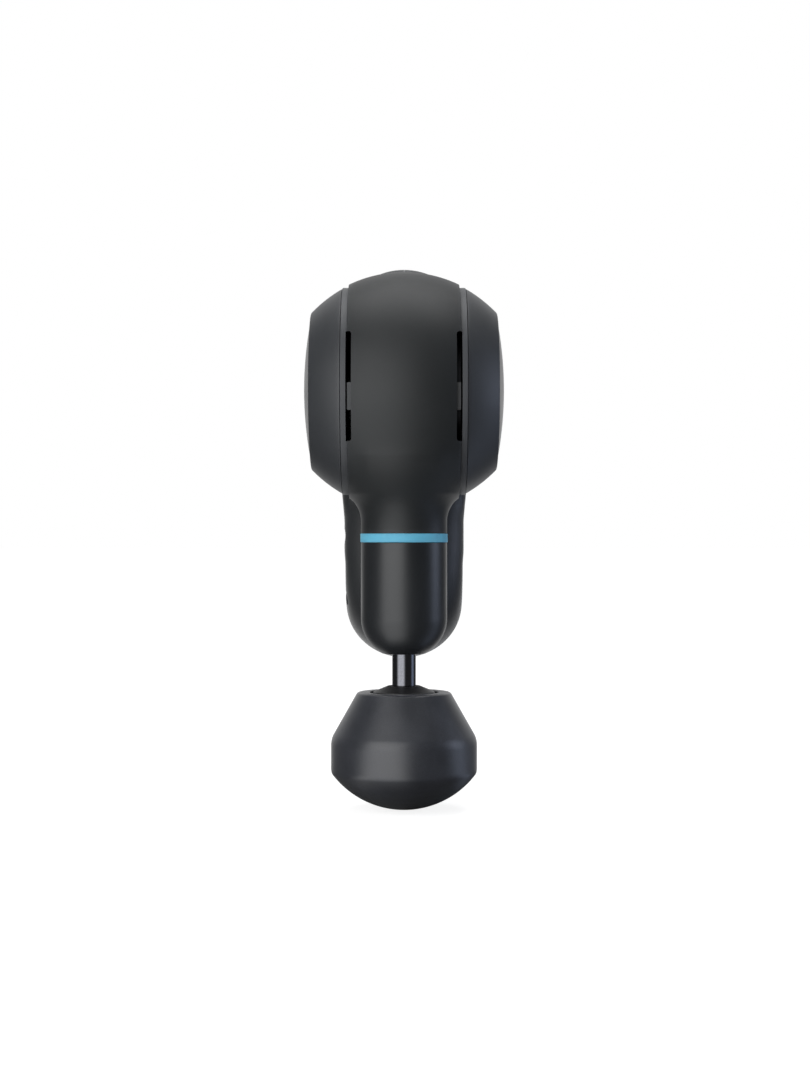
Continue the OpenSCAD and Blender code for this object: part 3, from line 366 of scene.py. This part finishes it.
def net(points, quads):
    bm = bmesh.new()
    verts = [bm.verts.new(p) for p in points]
    for q in quads:
        bm.faces.new([verts[i] for i in q])
    return bm


def lists(bm):
    bm.verts.index_update()
    both = [v.co[:] for v in bm.verts], [[v.index for v in f.verts] for f in bm.faces]
    bm.free()
    return both


def stand(place, axis):
    turn = Vector((0, 0, 1)).rotation_difference(Vector(axis)).to_matrix().to_4x4()
    return Matrix.Translation(Vector(place)) @ turn


def carve(ob, cutter, keen=35):
    rule = ob.modifiers.new("carve", "BOOLEAN")
    rule.operation = "DIFFERENCE"
    rule.solver = "EXACT"
    rule.object = cutter
    mesh = bpy.data.meshes.new_from_object(ob.evaluated_get(bpy.context.evaluated_depsgraph_get()))
    ob.modifiers.clear()
    ob.data = mesh
    bpy.data.objects.remove(cutter)
    settle(ob, keen)


def rod(bm, place, axis, r, length, sides=40):
    bmesh.ops.create_cone(bm, cap_ends=True, segments=sides, radius1=r, radius2=r, depth=length,
                          matrix=stand(place, axis))


def loose(name, bm):
    mesh = bpy.data.meshes.new(name)
    bm.transform(Matrix.Translation(drum) @ Matrix.Scale(0.001, 4))
    bm.to_mesh(mesh)
    bm.free()
    ob = bpy.data.objects.new(name, mesh)
    bpy.context.scene.collection.objects.link(ob)
    return ob


# A spark-eroded mould leaves a fine even grain on the nylon: it breaks the gloss up and gives a soft satin
# sheen. The real grain is 0.1 to 0.2 mm; it is drawn at about 0.4 mm, the finest that still shows at this
# distance.
def moulded(name, body, speckle_and_edge_highlight, grain_mm, rough, depth_mm=0.012, level=0.5):
    made = bpy.data.materials.new(name)
    made.use_nodes = True
    tree = made.node_tree
    face = tree.nodes["Principled BSDF"]
    face.inputs["IOR"].default_value = 1.5
    face.inputs["Specular IOR Level"].default_value = level
    place = add(tree, "TexCoord")
    grain = add(tree, "TexNoise", {"Vector": place.outputs["Object"]}, Scale=1000 / grain_mm, Detail=3,
                Roughness=0.6)
    cloud = add(tree, "TexNoise", {"Vector": place.outputs["Object"]}, Scale=1000 / 22, Detail=4,
                Roughness=0.55)
    shape = add(tree, "NewGeometry")
    # Painted highlight: convex edges, found by their pointiness, are mixed towards the lighter colour.
    rim = add(tree, "MapRange", {"Value": shape.outputs["Pointiness"]}, From_Min=0.52, From_Max=0.62,
              To_Max=0.8)
    speck = add(tree, "MapRange", {"Value": grain.outputs["Fac"]}, From_Min=0.3, From_Max=0.7, To_Max=0.22)
    shift = add(tree, "MapRange", {"Value": cloud.outputs["Fac"]}, From_Min=0.35, From_Max=0.65, To_Max=0.18)
    speckle_and_edge_highlight_mask = add(tree, "Math", {0: speck.outputs[0], 1: shift.outputs[0]}, operation="ADD")
    speckle_and_edge_highlight_mask = add(tree, "Math", {0: speckle_and_edge_highlight_mask.outputs[0], 1: rim.outputs[0]}, operation="ADD", use_clamp=True)
    tint = add(tree, "MixRGB", {"Fac": speckle_and_edge_highlight_mask.outputs[0]}, Color1=linear(body), Color2=linear(speckle_and_edge_highlight))
    gloss = add(tree, "MapRange", {"Value": cloud.outputs["Fac"]}, From_Min=0.3, From_Max=0.7,
                To_Min=rough - 0.03, To_Max=rough + 0.04)
    relief = add(tree, "Bump", {"Height": grain.outputs["Fac"]}, Strength=0.35, Distance=depth_mm / 1000)
    tree.links.new(tint.outputs[0], face.inputs["Base Color"])
    tree.links.new(gloss.outputs[0], face.inputs["Roughness"])
    tree.links.new(relief.outputs[0], face.inputs["Normal"])
    return made


nylon = moulded("charcoal_glass_filled_nylon", "#202224", "#2b2d2f", 0.4, 0.48, 0.012, 0.40)
sheen = nylon.node_tree.nodes["Principled BSDF"].inputs
sheen["Sheen Weight"].default_value = 0.45
sheen["Sheen Roughness"].default_value = 0.3

bm = net(*skin(handle_depth, (-1.6, 16.5, -101), (26.5, 134.5, 49.5), 1.1))
seam = 0.03
bmesh.ops.bisect_plane(bm, geom=bm.verts[:] + bm.edges[:] + bm.faces[:], plane_co=(seam, 0, 0),
                       plane_no=(-1, 0, 0), clear_outer=True)
rim = [e for e in bm.edges if e.is_boundary]
bmesh.ops.triangle_fill(bm, edges=rim, use_beauty=True, normal=(-1, 0, 0))
bmesh.ops.remove_doubles(bm, verts=bm.verts[:], dist=0.02)
rim = [e for e in bm.edges if all(abs(v.co.x - seam) < 1e-3 for v in e.verts)
       and any(abs(f.normal.x) < 0.9 for f in e.link_faces)]
bmesh.ops.bevel(bm, geom=rim, offset=0.18, segments=2, profile=0.6, affect="EDGES", clamp_overlap=True)
bmesh.ops.recalc_face_normals(bm, faces=bm.faces[:])
half_points, half_faces = lists(bm)
half_points = np.array(half_points)

screw_spots = (rear_c + corner_r * np.array([math.cos(math.radians(25)), math.sin(math.radians(25))]),
               low_c + corner_r * np.array([math.cos(math.radians(-140)), math.sin(math.radians(-140))]),
               np.array([top_c[0] - 12, grip[1] - (top_c[0] - 12 - grip[0]) * math.tan(bar_slope)]),
               np.array([front_y + 1, sway_foot + 6]))
screw_well_r, button_well_r, light_well_r, inlet_r = 3.1, 6.8, 1.15, 5.35
light_first, light_pitch = 8.5, 3.5
button_spot = np.array([87.0, grip[1] - 17 * math.tan(bar_slope)])
bar_up = Vector((0, up_dir[0], up_dir[1]))
bar_back = Vector((0, math.cos(bar_slope), -math.sin(bar_slope)))
inlet_spot = Vector((0, low_c[0], low_c[1] - corner_r - bar_half_thick - low_swell + 0.6))
for side, name in ((-1, "handle_shell_left"), (1, "handle_shell_right")):
    faces = half_faces if side > 0 else [f[::-1] for f in half_faces]
    shell = piece(name + "_skin", half_points * np.array([side, 1, 1]), faces, "handle", nylon)
    bm = bmesh.new()
    button_at = Vector((0, *button_spot)) + bar_up * bar_half_thick
    rod(bm, button_at, bar_up, button_well_r, 7, 64)
    rod(bm, inlet_spot, (0, 0, 1), inlet_r, 6, 48)
    for i in (1, 2, 3):
        rod(bm, button_at - bar_back * (light_first + light_pitch * i), bar_up, light_well_r, 5, 24)
    if side < 0:
        for y, z in screw_spots:
            rod(bm, (-30.4, y, z), (1, 0, 0), screw_well_r, 24, 32)
    carve(shell, loose("cutter", bm))
    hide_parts(name)


# Handle trim: turned and moulded bits let into the shells. The screws are black-oxide steel, sunk in round
# wells, the power button is a polycarbonate cap on a tactile switch, and three light pipes show the charge.
def turned(name, profile, spin, body, material, sides=128, keen=30):
    t = np.linspace(0, 2 * math.pi, sides, endpoint=False)
    r, h = np.array([q[0] for q in profile]), np.array([q[1] for q in profile])
    ring = np.stack([np.outer(r, np.cos(t)), np.outer(r, np.sin(t)), np.repeat(h[:, None], sides, 1)], -1)
    points = ring.reshape(-1, 3)
    faces = []
    for i in range(0, len(points) - sides, sides):
        for j, k in zip(range(sides), [*range(1, sides), 0]):
            faces.append((i + j, i + k, i + sides + k, i + sides + j))
    bm = net([spin @ Vector(p) for p in points], faces)
    bmesh.ops.remove_doubles(bm, verts=bm.verts[:], dist=1e-4)
    bmesh.ops.dissolve_degenerate(bm, edges=bm.edges[:], dist=1e-5)
    bmesh.ops.delete(bm, geom=[e for e in bm.edges if not e.link_faces], context="EDGES")
    bmesh.ops.recalc_face_normals(bm, faces=bm.faces[:])
    return piece(name, *lists(bm), body, material, keen)


def rounded(corners, steps=6):
    out = []
    for i, (r, h, f) in enumerate(corners):
        if f == 0:
            out.append((r, h))
            continue
        p = np.array([r, h])
        a, b = np.array(corners[i - 1][:2]) - p, np.array(corners[(i + 1) % len(corners)][:2]) - p
        la, lb = np.linalg.norm(a), np.linalg.norm(b)
        a, b = a / la * min(f, la * 0.49), b / lb * min(f, lb * 0.49)
        out += [tuple(p + a * (1 - t) ** 2 + b * t ** 2) for t in np.linspace(0, 1, steps)]
    return out


def dressed(material, *names):
    for name in names:
        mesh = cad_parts[name].data
        mesh.materials.clear()
        mesh.materials.append(material)


# Plated steel is drawn and tumbled: bright, with fine scratches that run every way.
def metal(name, bright, dull, rough, scratch_mm):
    made = bpy.data.materials.new(name)
    made.use_nodes = True
    tree = made.node_tree
    face = tree.nodes["Principled BSDF"]
    face.inputs["Metallic"].default_value = 1
    place = add(tree, "TexCoord")
    marks = add(tree, "TexNoise", {"Vector": place.outputs["Object"]}, Scale=1000 / scratch_mm, Detail=5,
                Distortion=2)
    tint = add(tree, "MixRGB", {"Fac": marks.outputs["Fac"]}, Color1=linear(bright), Color2=linear(dull))
    gloss = add(tree, "MapRange", {"Value": marks.outputs["Fac"]}, From_Min=0.3, From_Max=0.7,
                To_Min=rough - 0.04, To_Max=rough + 0.06)
    relief = add(tree, "Bump", {"Height": marks.outputs["Fac"]}, Strength=0.1, Distance=0.000004)
    tree.links.new(tint.outputs[0], face.inputs["Base Color"])
    tree.links.new(gloss.outputs[0], face.inputs["Roughness"])
    tree.links.new(relief.outputs[0], face.inputs["Normal"])
    return made


plated_steel = metal("zinc_plated_steel", "#c3c6ca", "#8f9296", 0.28, 0.8)
button_cap = moulded("graphite_polycarbonate", "#222325", "#303235", 0.5, 0.34, 0.006, 0.4)
black_nylon = moulded("black_nylon", "#151617", "#202123", 0.4, 0.45)
black_oxide = metal("black_oxide_steel", "#46474a", "#2e2f31", 0.36, 0.8)
dressed(black_oxide, "handle_screws")
dressed(black_nylon, "charge_inlet", "button_switch")

cap_at = Vector((0, *button_spot))
button = turned("power_button_cap", rounded([
    (8.1, 10.6, 0), (8.1, 12.0, 0.2), (6.5, 12.0, 0.1), (6.5, 15.2, 0.6), (5.0, 15.2, 1.2), (0, 14.75, 0)])
    + [(0, 13.6), (5.0, 13.6), (5.0, 10.6), (8.1, 10.6)],
    stand(cap_at, bar_up), "power_button", button_cap, 64)
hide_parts("power_button")

light_pipe = bpy.data.materials.new("clear_acrylic_light_pipe")
light_pipe.use_nodes = True
tree = light_pipe.node_tree
face = tree.nodes["Principled BSDF"]
face.inputs["Roughness"].default_value = 0.12
face.inputs["IOR"].default_value = 1.49
place = add(tree, "TexCoord")
haze = add(tree, "TexNoise", {"Vector": place.outputs["Object"]}, Scale=1000 / 0.6, Detail=2)
tint = add(tree, "MixRGB", {"Fac": haze.outputs["Fac"]}, Color1=linear("#c9d0d6"), Color2=linear("#e4e8ec"))
tree.links.new(tint.outputs[0], face.inputs["Base Color"])
dressed(light_pipe, "status_lights")


# Side caps and discs: the caps close the fork over the drum's trunnions and snap onto the cheeks. The right
# disc is fixed, the left one is the button that frees the arm's clutch. All are round mouldings of ABS.
abs_black = moulded("charcoal_ABS", "#27292c", "#313336", 0.4, 0.48, 0.012, 0.42)
disc_abs = moulded("graphite_ABS", "#222426", "#2c2e31", 0.5, 0.34, 0.008)
cap_base, cap_face, cap_face_x = (36.75, 22.05), 28.1, 33.2
cap_floor_x, cap_under_x, cap_lip_r = 29.6, 27.9, 27.3
bulge = 0.5
chord = np.array([cap_face - cap_base[0], cap_face_x - cap_base[1]])
bulge_dir = np.array([chord[1], -chord[0]]) / np.linalg.norm(chord)
bevel = [tuple(np.array(cap_base) + chord * t + bulge_dir * bulge * 4 * t * (1 - t))
         for t in np.linspace(0.06, 0.94, 14)]
lip = rounded([(*bevel[-1], 0), (cap_face, cap_face_x, 0.6), (cap_lip_r, cap_face_x, 0.2),
               (cap_lip_r, cap_floor_x, 0)])
cap_line = rounded([(30.0, 22.05, 0), (36.7, 22.05, 0.12), (*bevel[0], 0)]) + bevel[1:-1] + lip
cap_line += [(6.0, cap_floor_x), (6.0, cap_under_x), (25.9, cap_under_x), (30.0, 24.0), (30.0, 22.05)]
disc_r, disc_rise, disc_edge_x = 27.0, 2.8, 33.0
dome_r = (disc_r ** 2 + disc_rise ** 2) / (2 * disc_rise)
dome = [(r, disc_edge_x + disc_rise - dome_r + math.sqrt(dome_r ** 2 - r ** 2))
        for r in np.linspace(disc_r - 0.8, 0, 16)]
for side, cap_node, disc_node, disc_body, skirt in (
        (-1, "side_cap_left", "release_button", "release_button", 32.3),
        (1, "side_cap_right", "side_disc", "handle", 29.6)):
    spin = Matrix.Rotation(side * quarter, 4, "Y")
    cap = turned(cap_node + "_moulding", cap_line, spin, "handle", abs_black, 192)
    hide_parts(cap_node)
    rim = rounded([(disc_r, skirt, 0), (disc_r, 33.05, 0.5), (*dome[0], 0)])
    under = [(r * 0.94, h - 0.8) for r, h in reversed(dome)] + [(25.2, skirt), (disc_r, skirt)]
    disc = turned(disc_node + "_dome", rim + dome[1:] + under, spin, disc_body, disc_abs, 192)
    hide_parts(disc_node)


# Drum and neck: one ABS moulding with a soft-touch coat, a crowned band that flows into the neck through a
# wide fillet. Plates screwed to its two open sides close it and carry the trunnions. A vent slot runs along
# each joint line, with a tab in it; its inside and the drum's bores are coloured near black, painted shade.
band_half, crown_r, edge_r = 19.6, 42.7, 38.3
crown_arc = (band_half ** 2 + (crown_r - edge_r) ** 2) / (2 * (crown_r - edge_r))
neck_r, neck_end, fillet_r, fillet_foot = 15.5, 51.0, 10.5, 46.6
fillet_rise, fillet_steep = 9.66, 0.8
melt_z, melt_pull, neck_knee = -24.0, 9, -41
melt_y = math.sqrt(crown_r ** 2 - melt_z ** 2)
t = np.linspace(0, 1, 40)[:, None]
foot, knee, melt = np.array([(neck_r, -neck_end), (neck_r, neck_knee), (melt_y, melt_z)])
pull = np.array([melt_y + melt_pull * melt_z / crown_r, melt_z - melt_pull * melt_y / crown_r])
throat = (1 - t) ** 3 * foot + 3 * t * (1 - t) ** 2 * knee + 3 * t ** 2 * (1 - t) * pull + t ** 3 * melt


def drum_depth(p):
    x, y, z = p[:, 0], p[:, 1], p[:, 2]
    crown = crown_r - crown_arc + np.sqrt(crown_arc ** 2 - x ** 2)
    band = np.hypot(y, z) - crown
    up = np.clip(z + fillet_foot, 0, fillet_rise)
    over = np.maximum(z + fillet_foot - fillet_rise, 0)
    wide = neck_r + fillet_r - np.sqrt(fillet_r ** 2 - up ** 2) + over * fillet_steep
    neck = np.maximum(oval_depth(x, y, wide, np.interp(z, throat[:, 1], throat[:, 0])), z + 8)
    return smooth_min(band, neck, np.interp(np.abs(x), (12.5, 19.2), (3.0, 0.5)))


soft_coat = moulded("charcoal_soft_touch_coat", "#1d1f20", "#26282a", 0.4, 0.48, 0.012, 0.25)
bm = net(*skin(drum_depth, (-23, -44.5, -54.5), (23, 44.5, 44.5), 1.0))
for place, out in (
        (Vector((band_half, 0, 0)), Vector((1, 0, 0))),
        (Vector((-band_half, 0, 0)), Vector((-1, 0, 0))),
        (Vector((0, 0, -neck_end + 0.05)), Vector((0, 0, -1)))):
    bmesh.ops.bisect_plane(bm, geom=bm.verts[:] + bm.edges[:] + bm.faces[:], dist=1e-4, plane_co=place,
                           plane_no=out, clear_outer=True)
    rim = [e for e in bm.edges if e.is_boundary and all(abs((v.co - place).dot(out)) < 1e-3 for v in e.verts)]
    bmesh.ops.triangle_fill(bm, edges=rim, use_beauty=True, normal=out)
bmesh.ops.remove_doubles(bm, verts=bm.verts[:], dist=0.02)
rim = [e for e in bm.edges if len(e.link_faces) == 2 and e.calc_face_angle() > math.radians(40)]
bmesh.ops.bevel(bm, geom=rim, offset=0.28, segments=3, profile=0.5, affect="EDGES", clamp_overlap=True)
bmesh.ops.recalc_face_normals(bm, faces=bm.faces[:])
band = piece("arm_housing_moulding", *lists(bm), "arm", soft_coat, 40)


def prism(bm, near, far):
    near = [bm.verts.new(p) for p in near]
    far = [bm.verts.new(p) for p in far]
    made = [bm.faces.new(near), bm.faces.new(far[::-1])]
    for i in range(len(near)):
        j = (i + 1) % len(near)
        made.append(bm.faces.new((near[j], near[i], far[i], far[j])))
    bmesh.ops.recalc_face_normals(bm, faces=made)


def lined(name, bm, lining):
    cutter = loose(name, bm)
    for _ in range(2):
        cutter.data.materials.append(lining)
    for f in cutter.data.polygons:
        f.material_index = 1
    return cutter


# Painted highlight: the side plates are coloured lighter than the band and the caps, so their rim strips look
# lit.
plate_abs_painted_light = moulded("ABS_plate_painted_rim_light", "#36383b", "#414346", 0.4, 0.46, 0.012, 0.3)
plate_r, plate_in, plate_out = 37.1, 19.62, 21.88
trunnion_r, trunnion_bore, trunnion_end = 24, 21, 27
plate_line = rounded([
    (trunnion_bore, plate_in, 0), (plate_r, plate_in, 0.1), (plate_r, plate_out, 0.2),
    (trunnion_r, plate_out, 0.2), (trunnion_r, trunnion_end, 0.3), (trunnion_bore, trunnion_end, 0)])
plate_line += [(trunnion_bore, plate_in)]
plates = []
for side, node in ((-1, "arm_plate_left"), (1, "arm_plate_right")):
    spin = Matrix.Rotation(side * quarter, 4, "Y")
    plate = turned(node + "_moulding", plate_line, spin, "arm", plate_abs_painted_light, 256)
    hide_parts(node)
    plates.append(plate)

slot_in, slot_out, slot_low, slot_high = band_half - 1.55, band_half + 0.42, -19.4, 18.2
# Painted shade: the vent slots, the drum's bore and the neck's bore are coloured near black inside.
painted_shade_black = moulded("painted_shade_inside", "#050506", "#0a0a0b", 0.6, 0.8, 0.004, 0.05)
bm = bmesh.new()
for side in (-1, 1):
    outline = rounded([(slot_out, slot_low, 0), (slot_in, slot_low, 1.2), (slot_in, slot_high, 1.2),
                       (slot_out, slot_high, 0)])
    prism(bm, [(side * x, -60, z) for x, z in outline], [(side * x, -27, z) for x, z in outline])
for plate in plates:
    plate.data.materials.append(painted_shade_black)
    carve(plate, lined("plate_cutter", bm.copy(), painted_shade_black))
band.data.materials.append(painted_shade_black)
drum_wall, neck_bore_r = 3, 12.5
hollow = bmesh.new()
rod(hollow, (0, 0, 0), (1, 0, 0), edge_r - drum_wall, 60, 128)
stem = bmesh.new()
rod(stem, (0, 0, -neck_end), (0, 0, 1), neck_bore_r, 40, 96)
for name, cut in (("vent_cutter", bm), ("drum_bore", hollow), ("neck_bore", stem)):
    carve(band, lined(name, cut, painted_shade_black), 40)
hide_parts("arm_housing")

tab_abs = moulded("grey_ABS_tab", "#303234", "#393b3d", 0.4, 0.45, 0.012, 0.3)
tab_r, tab_back, tab_low, tab_high = 36.6, 33.9, -8.85, 0.45
tab_in, tab_out = slot_in + 0.02, band_half - 0.15
outline = [(-tab_back, tab_low), (-tab_back, tab_high)]
outline += [(-math.sqrt(tab_r ** 2 - z ** 2), z) for z in np.linspace(tab_high, tab_low, 14)]
bm = bmesh.new()
for side in (-1, 1):
    prism(bm, [(side * tab_in, *q) for q in outline], [(side * tab_out, *q) for q in outline])
tabs = piece("vent_tab_pair", *lists(bm), "arm", tab_abs)
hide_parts("vent_tabs")

# Accent ring: a pale blue polycarbonate hoop between neck and nose, moulded through in its colour and
# slightly proud, so that its edges catch the light.
ring_blue = moulded("sky_blue_polycarbonate", "#60b6e0", "#6cbfe8", 0.6, 0.55, 0.004, 0.3)
face = ring_blue.node_tree.nodes["Principled BSDF"]
face.inputs["Subsurface Weight"].default_value = 0.5
face.inputs["Subsurface Radius"].default_value = (0.8, 1.0, 1.2)
face.inputs["Subsurface Scale"].default_value = 0.012
spigot_r, ring_r, ring_top, ring_low = 13, 15.7, -51.02, -54.18
ring_line = rounded([
    (spigot_r, ring_top, 0), (ring_r, ring_top, 0.25), (ring_r, ring_low, 0.25), (spigot_r, ring_low, 0)])
ring = turned("accent_ring_hoop", ring_line + [(spigot_r, ring_top)], Matrix(), "arm", ring_blue)
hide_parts("accent_ring")

# Nose: a round-ended ABS sleeve that plugs into the neck and carries the lower bush of the plunger.
# A rubber wiper closes its mouth round the shaft.
nose_top, nose_start, nose_end, mouth_r = -54.22, -81.3, -94.2, 7.5
nose_arc = ((neck_r - mouth_r) ** 2 + (nose_end - nose_start) ** 2) / (2 * (neck_r - mouth_r))
tip = [(neck_r - nose_arc + math.sqrt(nose_arc ** 2 - (z - nose_start) ** 2), z)
       for z in np.linspace(nose_start, nose_end + 0.5, 22)]
wiper_r, wiper_deep, wiper_bore = 6.4, 1.6, 4.9
nose_line = rounded([(spigot_r, nose_top, 0), (neck_r, nose_top, 0.25), (neck_r, -60, 0)])
nose_line += [(neck_r, -70)] + tip
nose_line += rounded([(*tip[-1], 0), (mouth_r + 0.3, nose_end, 0.7), (wiper_r, nose_end, 0.15),
                      (wiper_r, nose_end + wiper_deep, 0)])
nose_line += [(wiper_bore, nose_end + wiper_deep), (wiper_bore, nose_end + 3.6), (11.5, nose_start + 1),
              (spigot_r, nose_start + 4), (spigot_r, nose_top)]
satin_abs = moulded("charcoal_satin_ABS", "#1c1e20", "#25272a", 0.5, 0.36, 0.006, 0.34)
nose = turned("nose_sleeve_moulding", nose_line, Matrix(), "arm", satin_abs, 160, 40)
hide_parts("nose_sleeve")
wiper = moulded("black_nitrile_rubber", "#0e0e0f", "#161617", 0.5, 0.62, 0.01, 0.25)
dressed(wiper, "nose_seal", "head_o_ring", "clutch_disc")

# Plunger shaft: a hardened steel rod, ground and plated in black chrome, so it mirrors the room in dark
# streaks. It is pressed into the yoke of the drive and slides in two bushes.
black_chrome = metal("black_chrome_plate", "#6c6d72", "#515257", 0.12, 1.5)
shaft_r, shaft_top, shaft_end = 4.3, -25.02, -119.7
rod_line = rounded([
    (0, shaft_top, 0), (shaft_r, shaft_top, 0.3), (shaft_r, shaft_end, 0.8), (0, shaft_end, 0)])
shaft = turned("drive_shaft_rod", rod_line, Matrix(), "plunger", black_chrome, 96)
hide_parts("drive_shaft")

# Massage head: a dense closed-cell foam body, moulded round a black nylon hub that pushes onto the shaft and
# is held there by an O-ring. The foam has a tight matt skin with faint pores, softly rounded at each change
# of slope.
hub_bore, hub_r, hub_foot_r, hub_foot, hub_end = 4.32, 10.2, 15, -125, -128
hub_line = rounded([
    (hub_bore, -106.2, 0), (4.6, -105.7, 0), (5.7, -105.7, 0.3), (11.1, -107.9, 0.5), (11.1, -108.6, 0.2),
    (hub_r, -108.6, 0)])
hub_line += [(hub_r, hub_foot), (hub_foot_r, hub_foot), (hub_foot_r, hub_end), (hub_bore, hub_end)]
hub = turned("head_hub_collar", hub_line + hub_line[:1], Matrix(), "massage_head", black_nylon, 128)
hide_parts("head_hub")

foam = bpy.data.materials.new("closed_cell_EVA_foam")
foam.use_nodes = True
tree = foam.node_tree
face = tree.nodes["Principled BSDF"]
face.inputs["IOR"].default_value = 1.5
face.inputs["Specular IOR Level"].default_value = 0.5
face.inputs["Sheen Weight"].default_value = 0.06
face.inputs["Sheen Roughness"].default_value = 0.5
place = add(tree, "TexCoord")
pores = add(tree, "TexVoronoi", {"Vector": place.outputs["Object"]}, Scale=1000 / 0.5)
fuzz = add(tree, "TexNoise", {"Vector": place.outputs["Object"]}, Scale=1000 / 0.35, Detail=3)
cloud = add(tree, "TexNoise", {"Vector": place.outputs["Object"]}, Scale=1000 / 14, Detail=4)
pit = add(tree, "MapRange", {"Value": pores.outputs["Distance"]}, From_Max=0.35)
blend = add(tree, "Math", {0: fuzz.outputs["Fac"], 1: cloud.outputs["Fac"]}, operation="MULTIPLY")
mixed = add(tree, "MapRange", {"Value": blend.outputs[0]}, From_Min=0.15, From_Max=0.4)
tint = add(tree, "MixRGB", {"Fac": mixed.outputs[0]}, Color1=linear("#24262b"), Color2=linear("#2f3137"))
gloss = add(tree, "MapRange", {"Value": cloud.outputs["Fac"]}, From_Min=0.3, From_Max=0.7,
            To_Min=0.33, To_Max=0.41)
level = add(tree, "Math", {0: pit.outputs[0], 1: fuzz.outputs["Fac"]}, operation="ADD")
relief = add(tree, "Bump", {"Height": level.outputs[0]}, Strength=0.25, Distance=0.00002)
tree.links.new(tint.outputs[0], face.inputs["Base Color"])
tree.links.new(gloss.outputs[0], face.inputs["Roughness"])
tree.links.new(relief.outputs[0], face.inputs["Normal"])

head_r, dome_h, head_end = 26.25, 13.4, -150.2
dome_arc = (head_r ** 2 + dome_h ** 2) / (2 * dome_h)
curve = [(r, head_end + dome_arc - math.sqrt(dome_arc ** 2 - r ** 2)) for r in np.linspace(25.2, 0, 26)]
play = 0.05
foam_line = rounded([
    (hub_r + play, -110.8, 0), (12.4, -110.8, 0.2), (12.4, -108, 0.4), (16.7, -108, 0.9),
    (head_r, -124.8, 2.2), (head_r, head_end + dome_h, 1.6), (*curve[0], 0)], 10) + curve[1:]
foam_line += [(0, hub_end - play), (hub_foot_r + play, hub_end - play), (hub_foot_r + play, hub_foot + play),
              (hub_r + play, hub_foot + play)]
head = turned("head_foam_body", foam_line + foam_line[:1], Matrix(), "massage_head", foam, 160, 50)
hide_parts("head_foam")

# Works inside the handle and the drum: steel motor and crank, bronze bushes, cells in their wrap, circuit
# board. They hardly show, but each keeps the finish of its real counterpart.
bronze = metal("oiled_sinter_bronze", "#b58a4a", "#8d6a36", 0.38, 0.3)
cell_wrap = moulded("blue_PVC_cell_wrap", "#2f4a68", "#3d5c7e", 3.0, 0.35, 0.01, 0.5)
board_glass = moulded("green_glass_epoxy_board", "#1e4a32", "#2b6143", 0.8, 0.4, 0.01, 0.5)
dark_steel = metal("phosphated_steel", "#2b2c2e", "#1c1d1e", 0.45, 0.6)
dressed(dark_steel, "motor_mount", "plate_screws")
dressed(plated_steel, "motor_screws", "release_stem", "release_spring", "motor_bearings", "motor_rotor",
        "crank_disc", "crank_pin")
dressed(bronze, "pivot_bush_left", "pivot_bush_right", "shaft_bush_upper", "shaft_bush_lower", "crank_roller",
        "motor_stator")
dressed(black_chrome, "motor_can")
dressed(cell_wrap, "battery_cells")
dressed(black_nylon, "battery_cradle", "drive_yoke")
dressed(board_glass, "control_board")
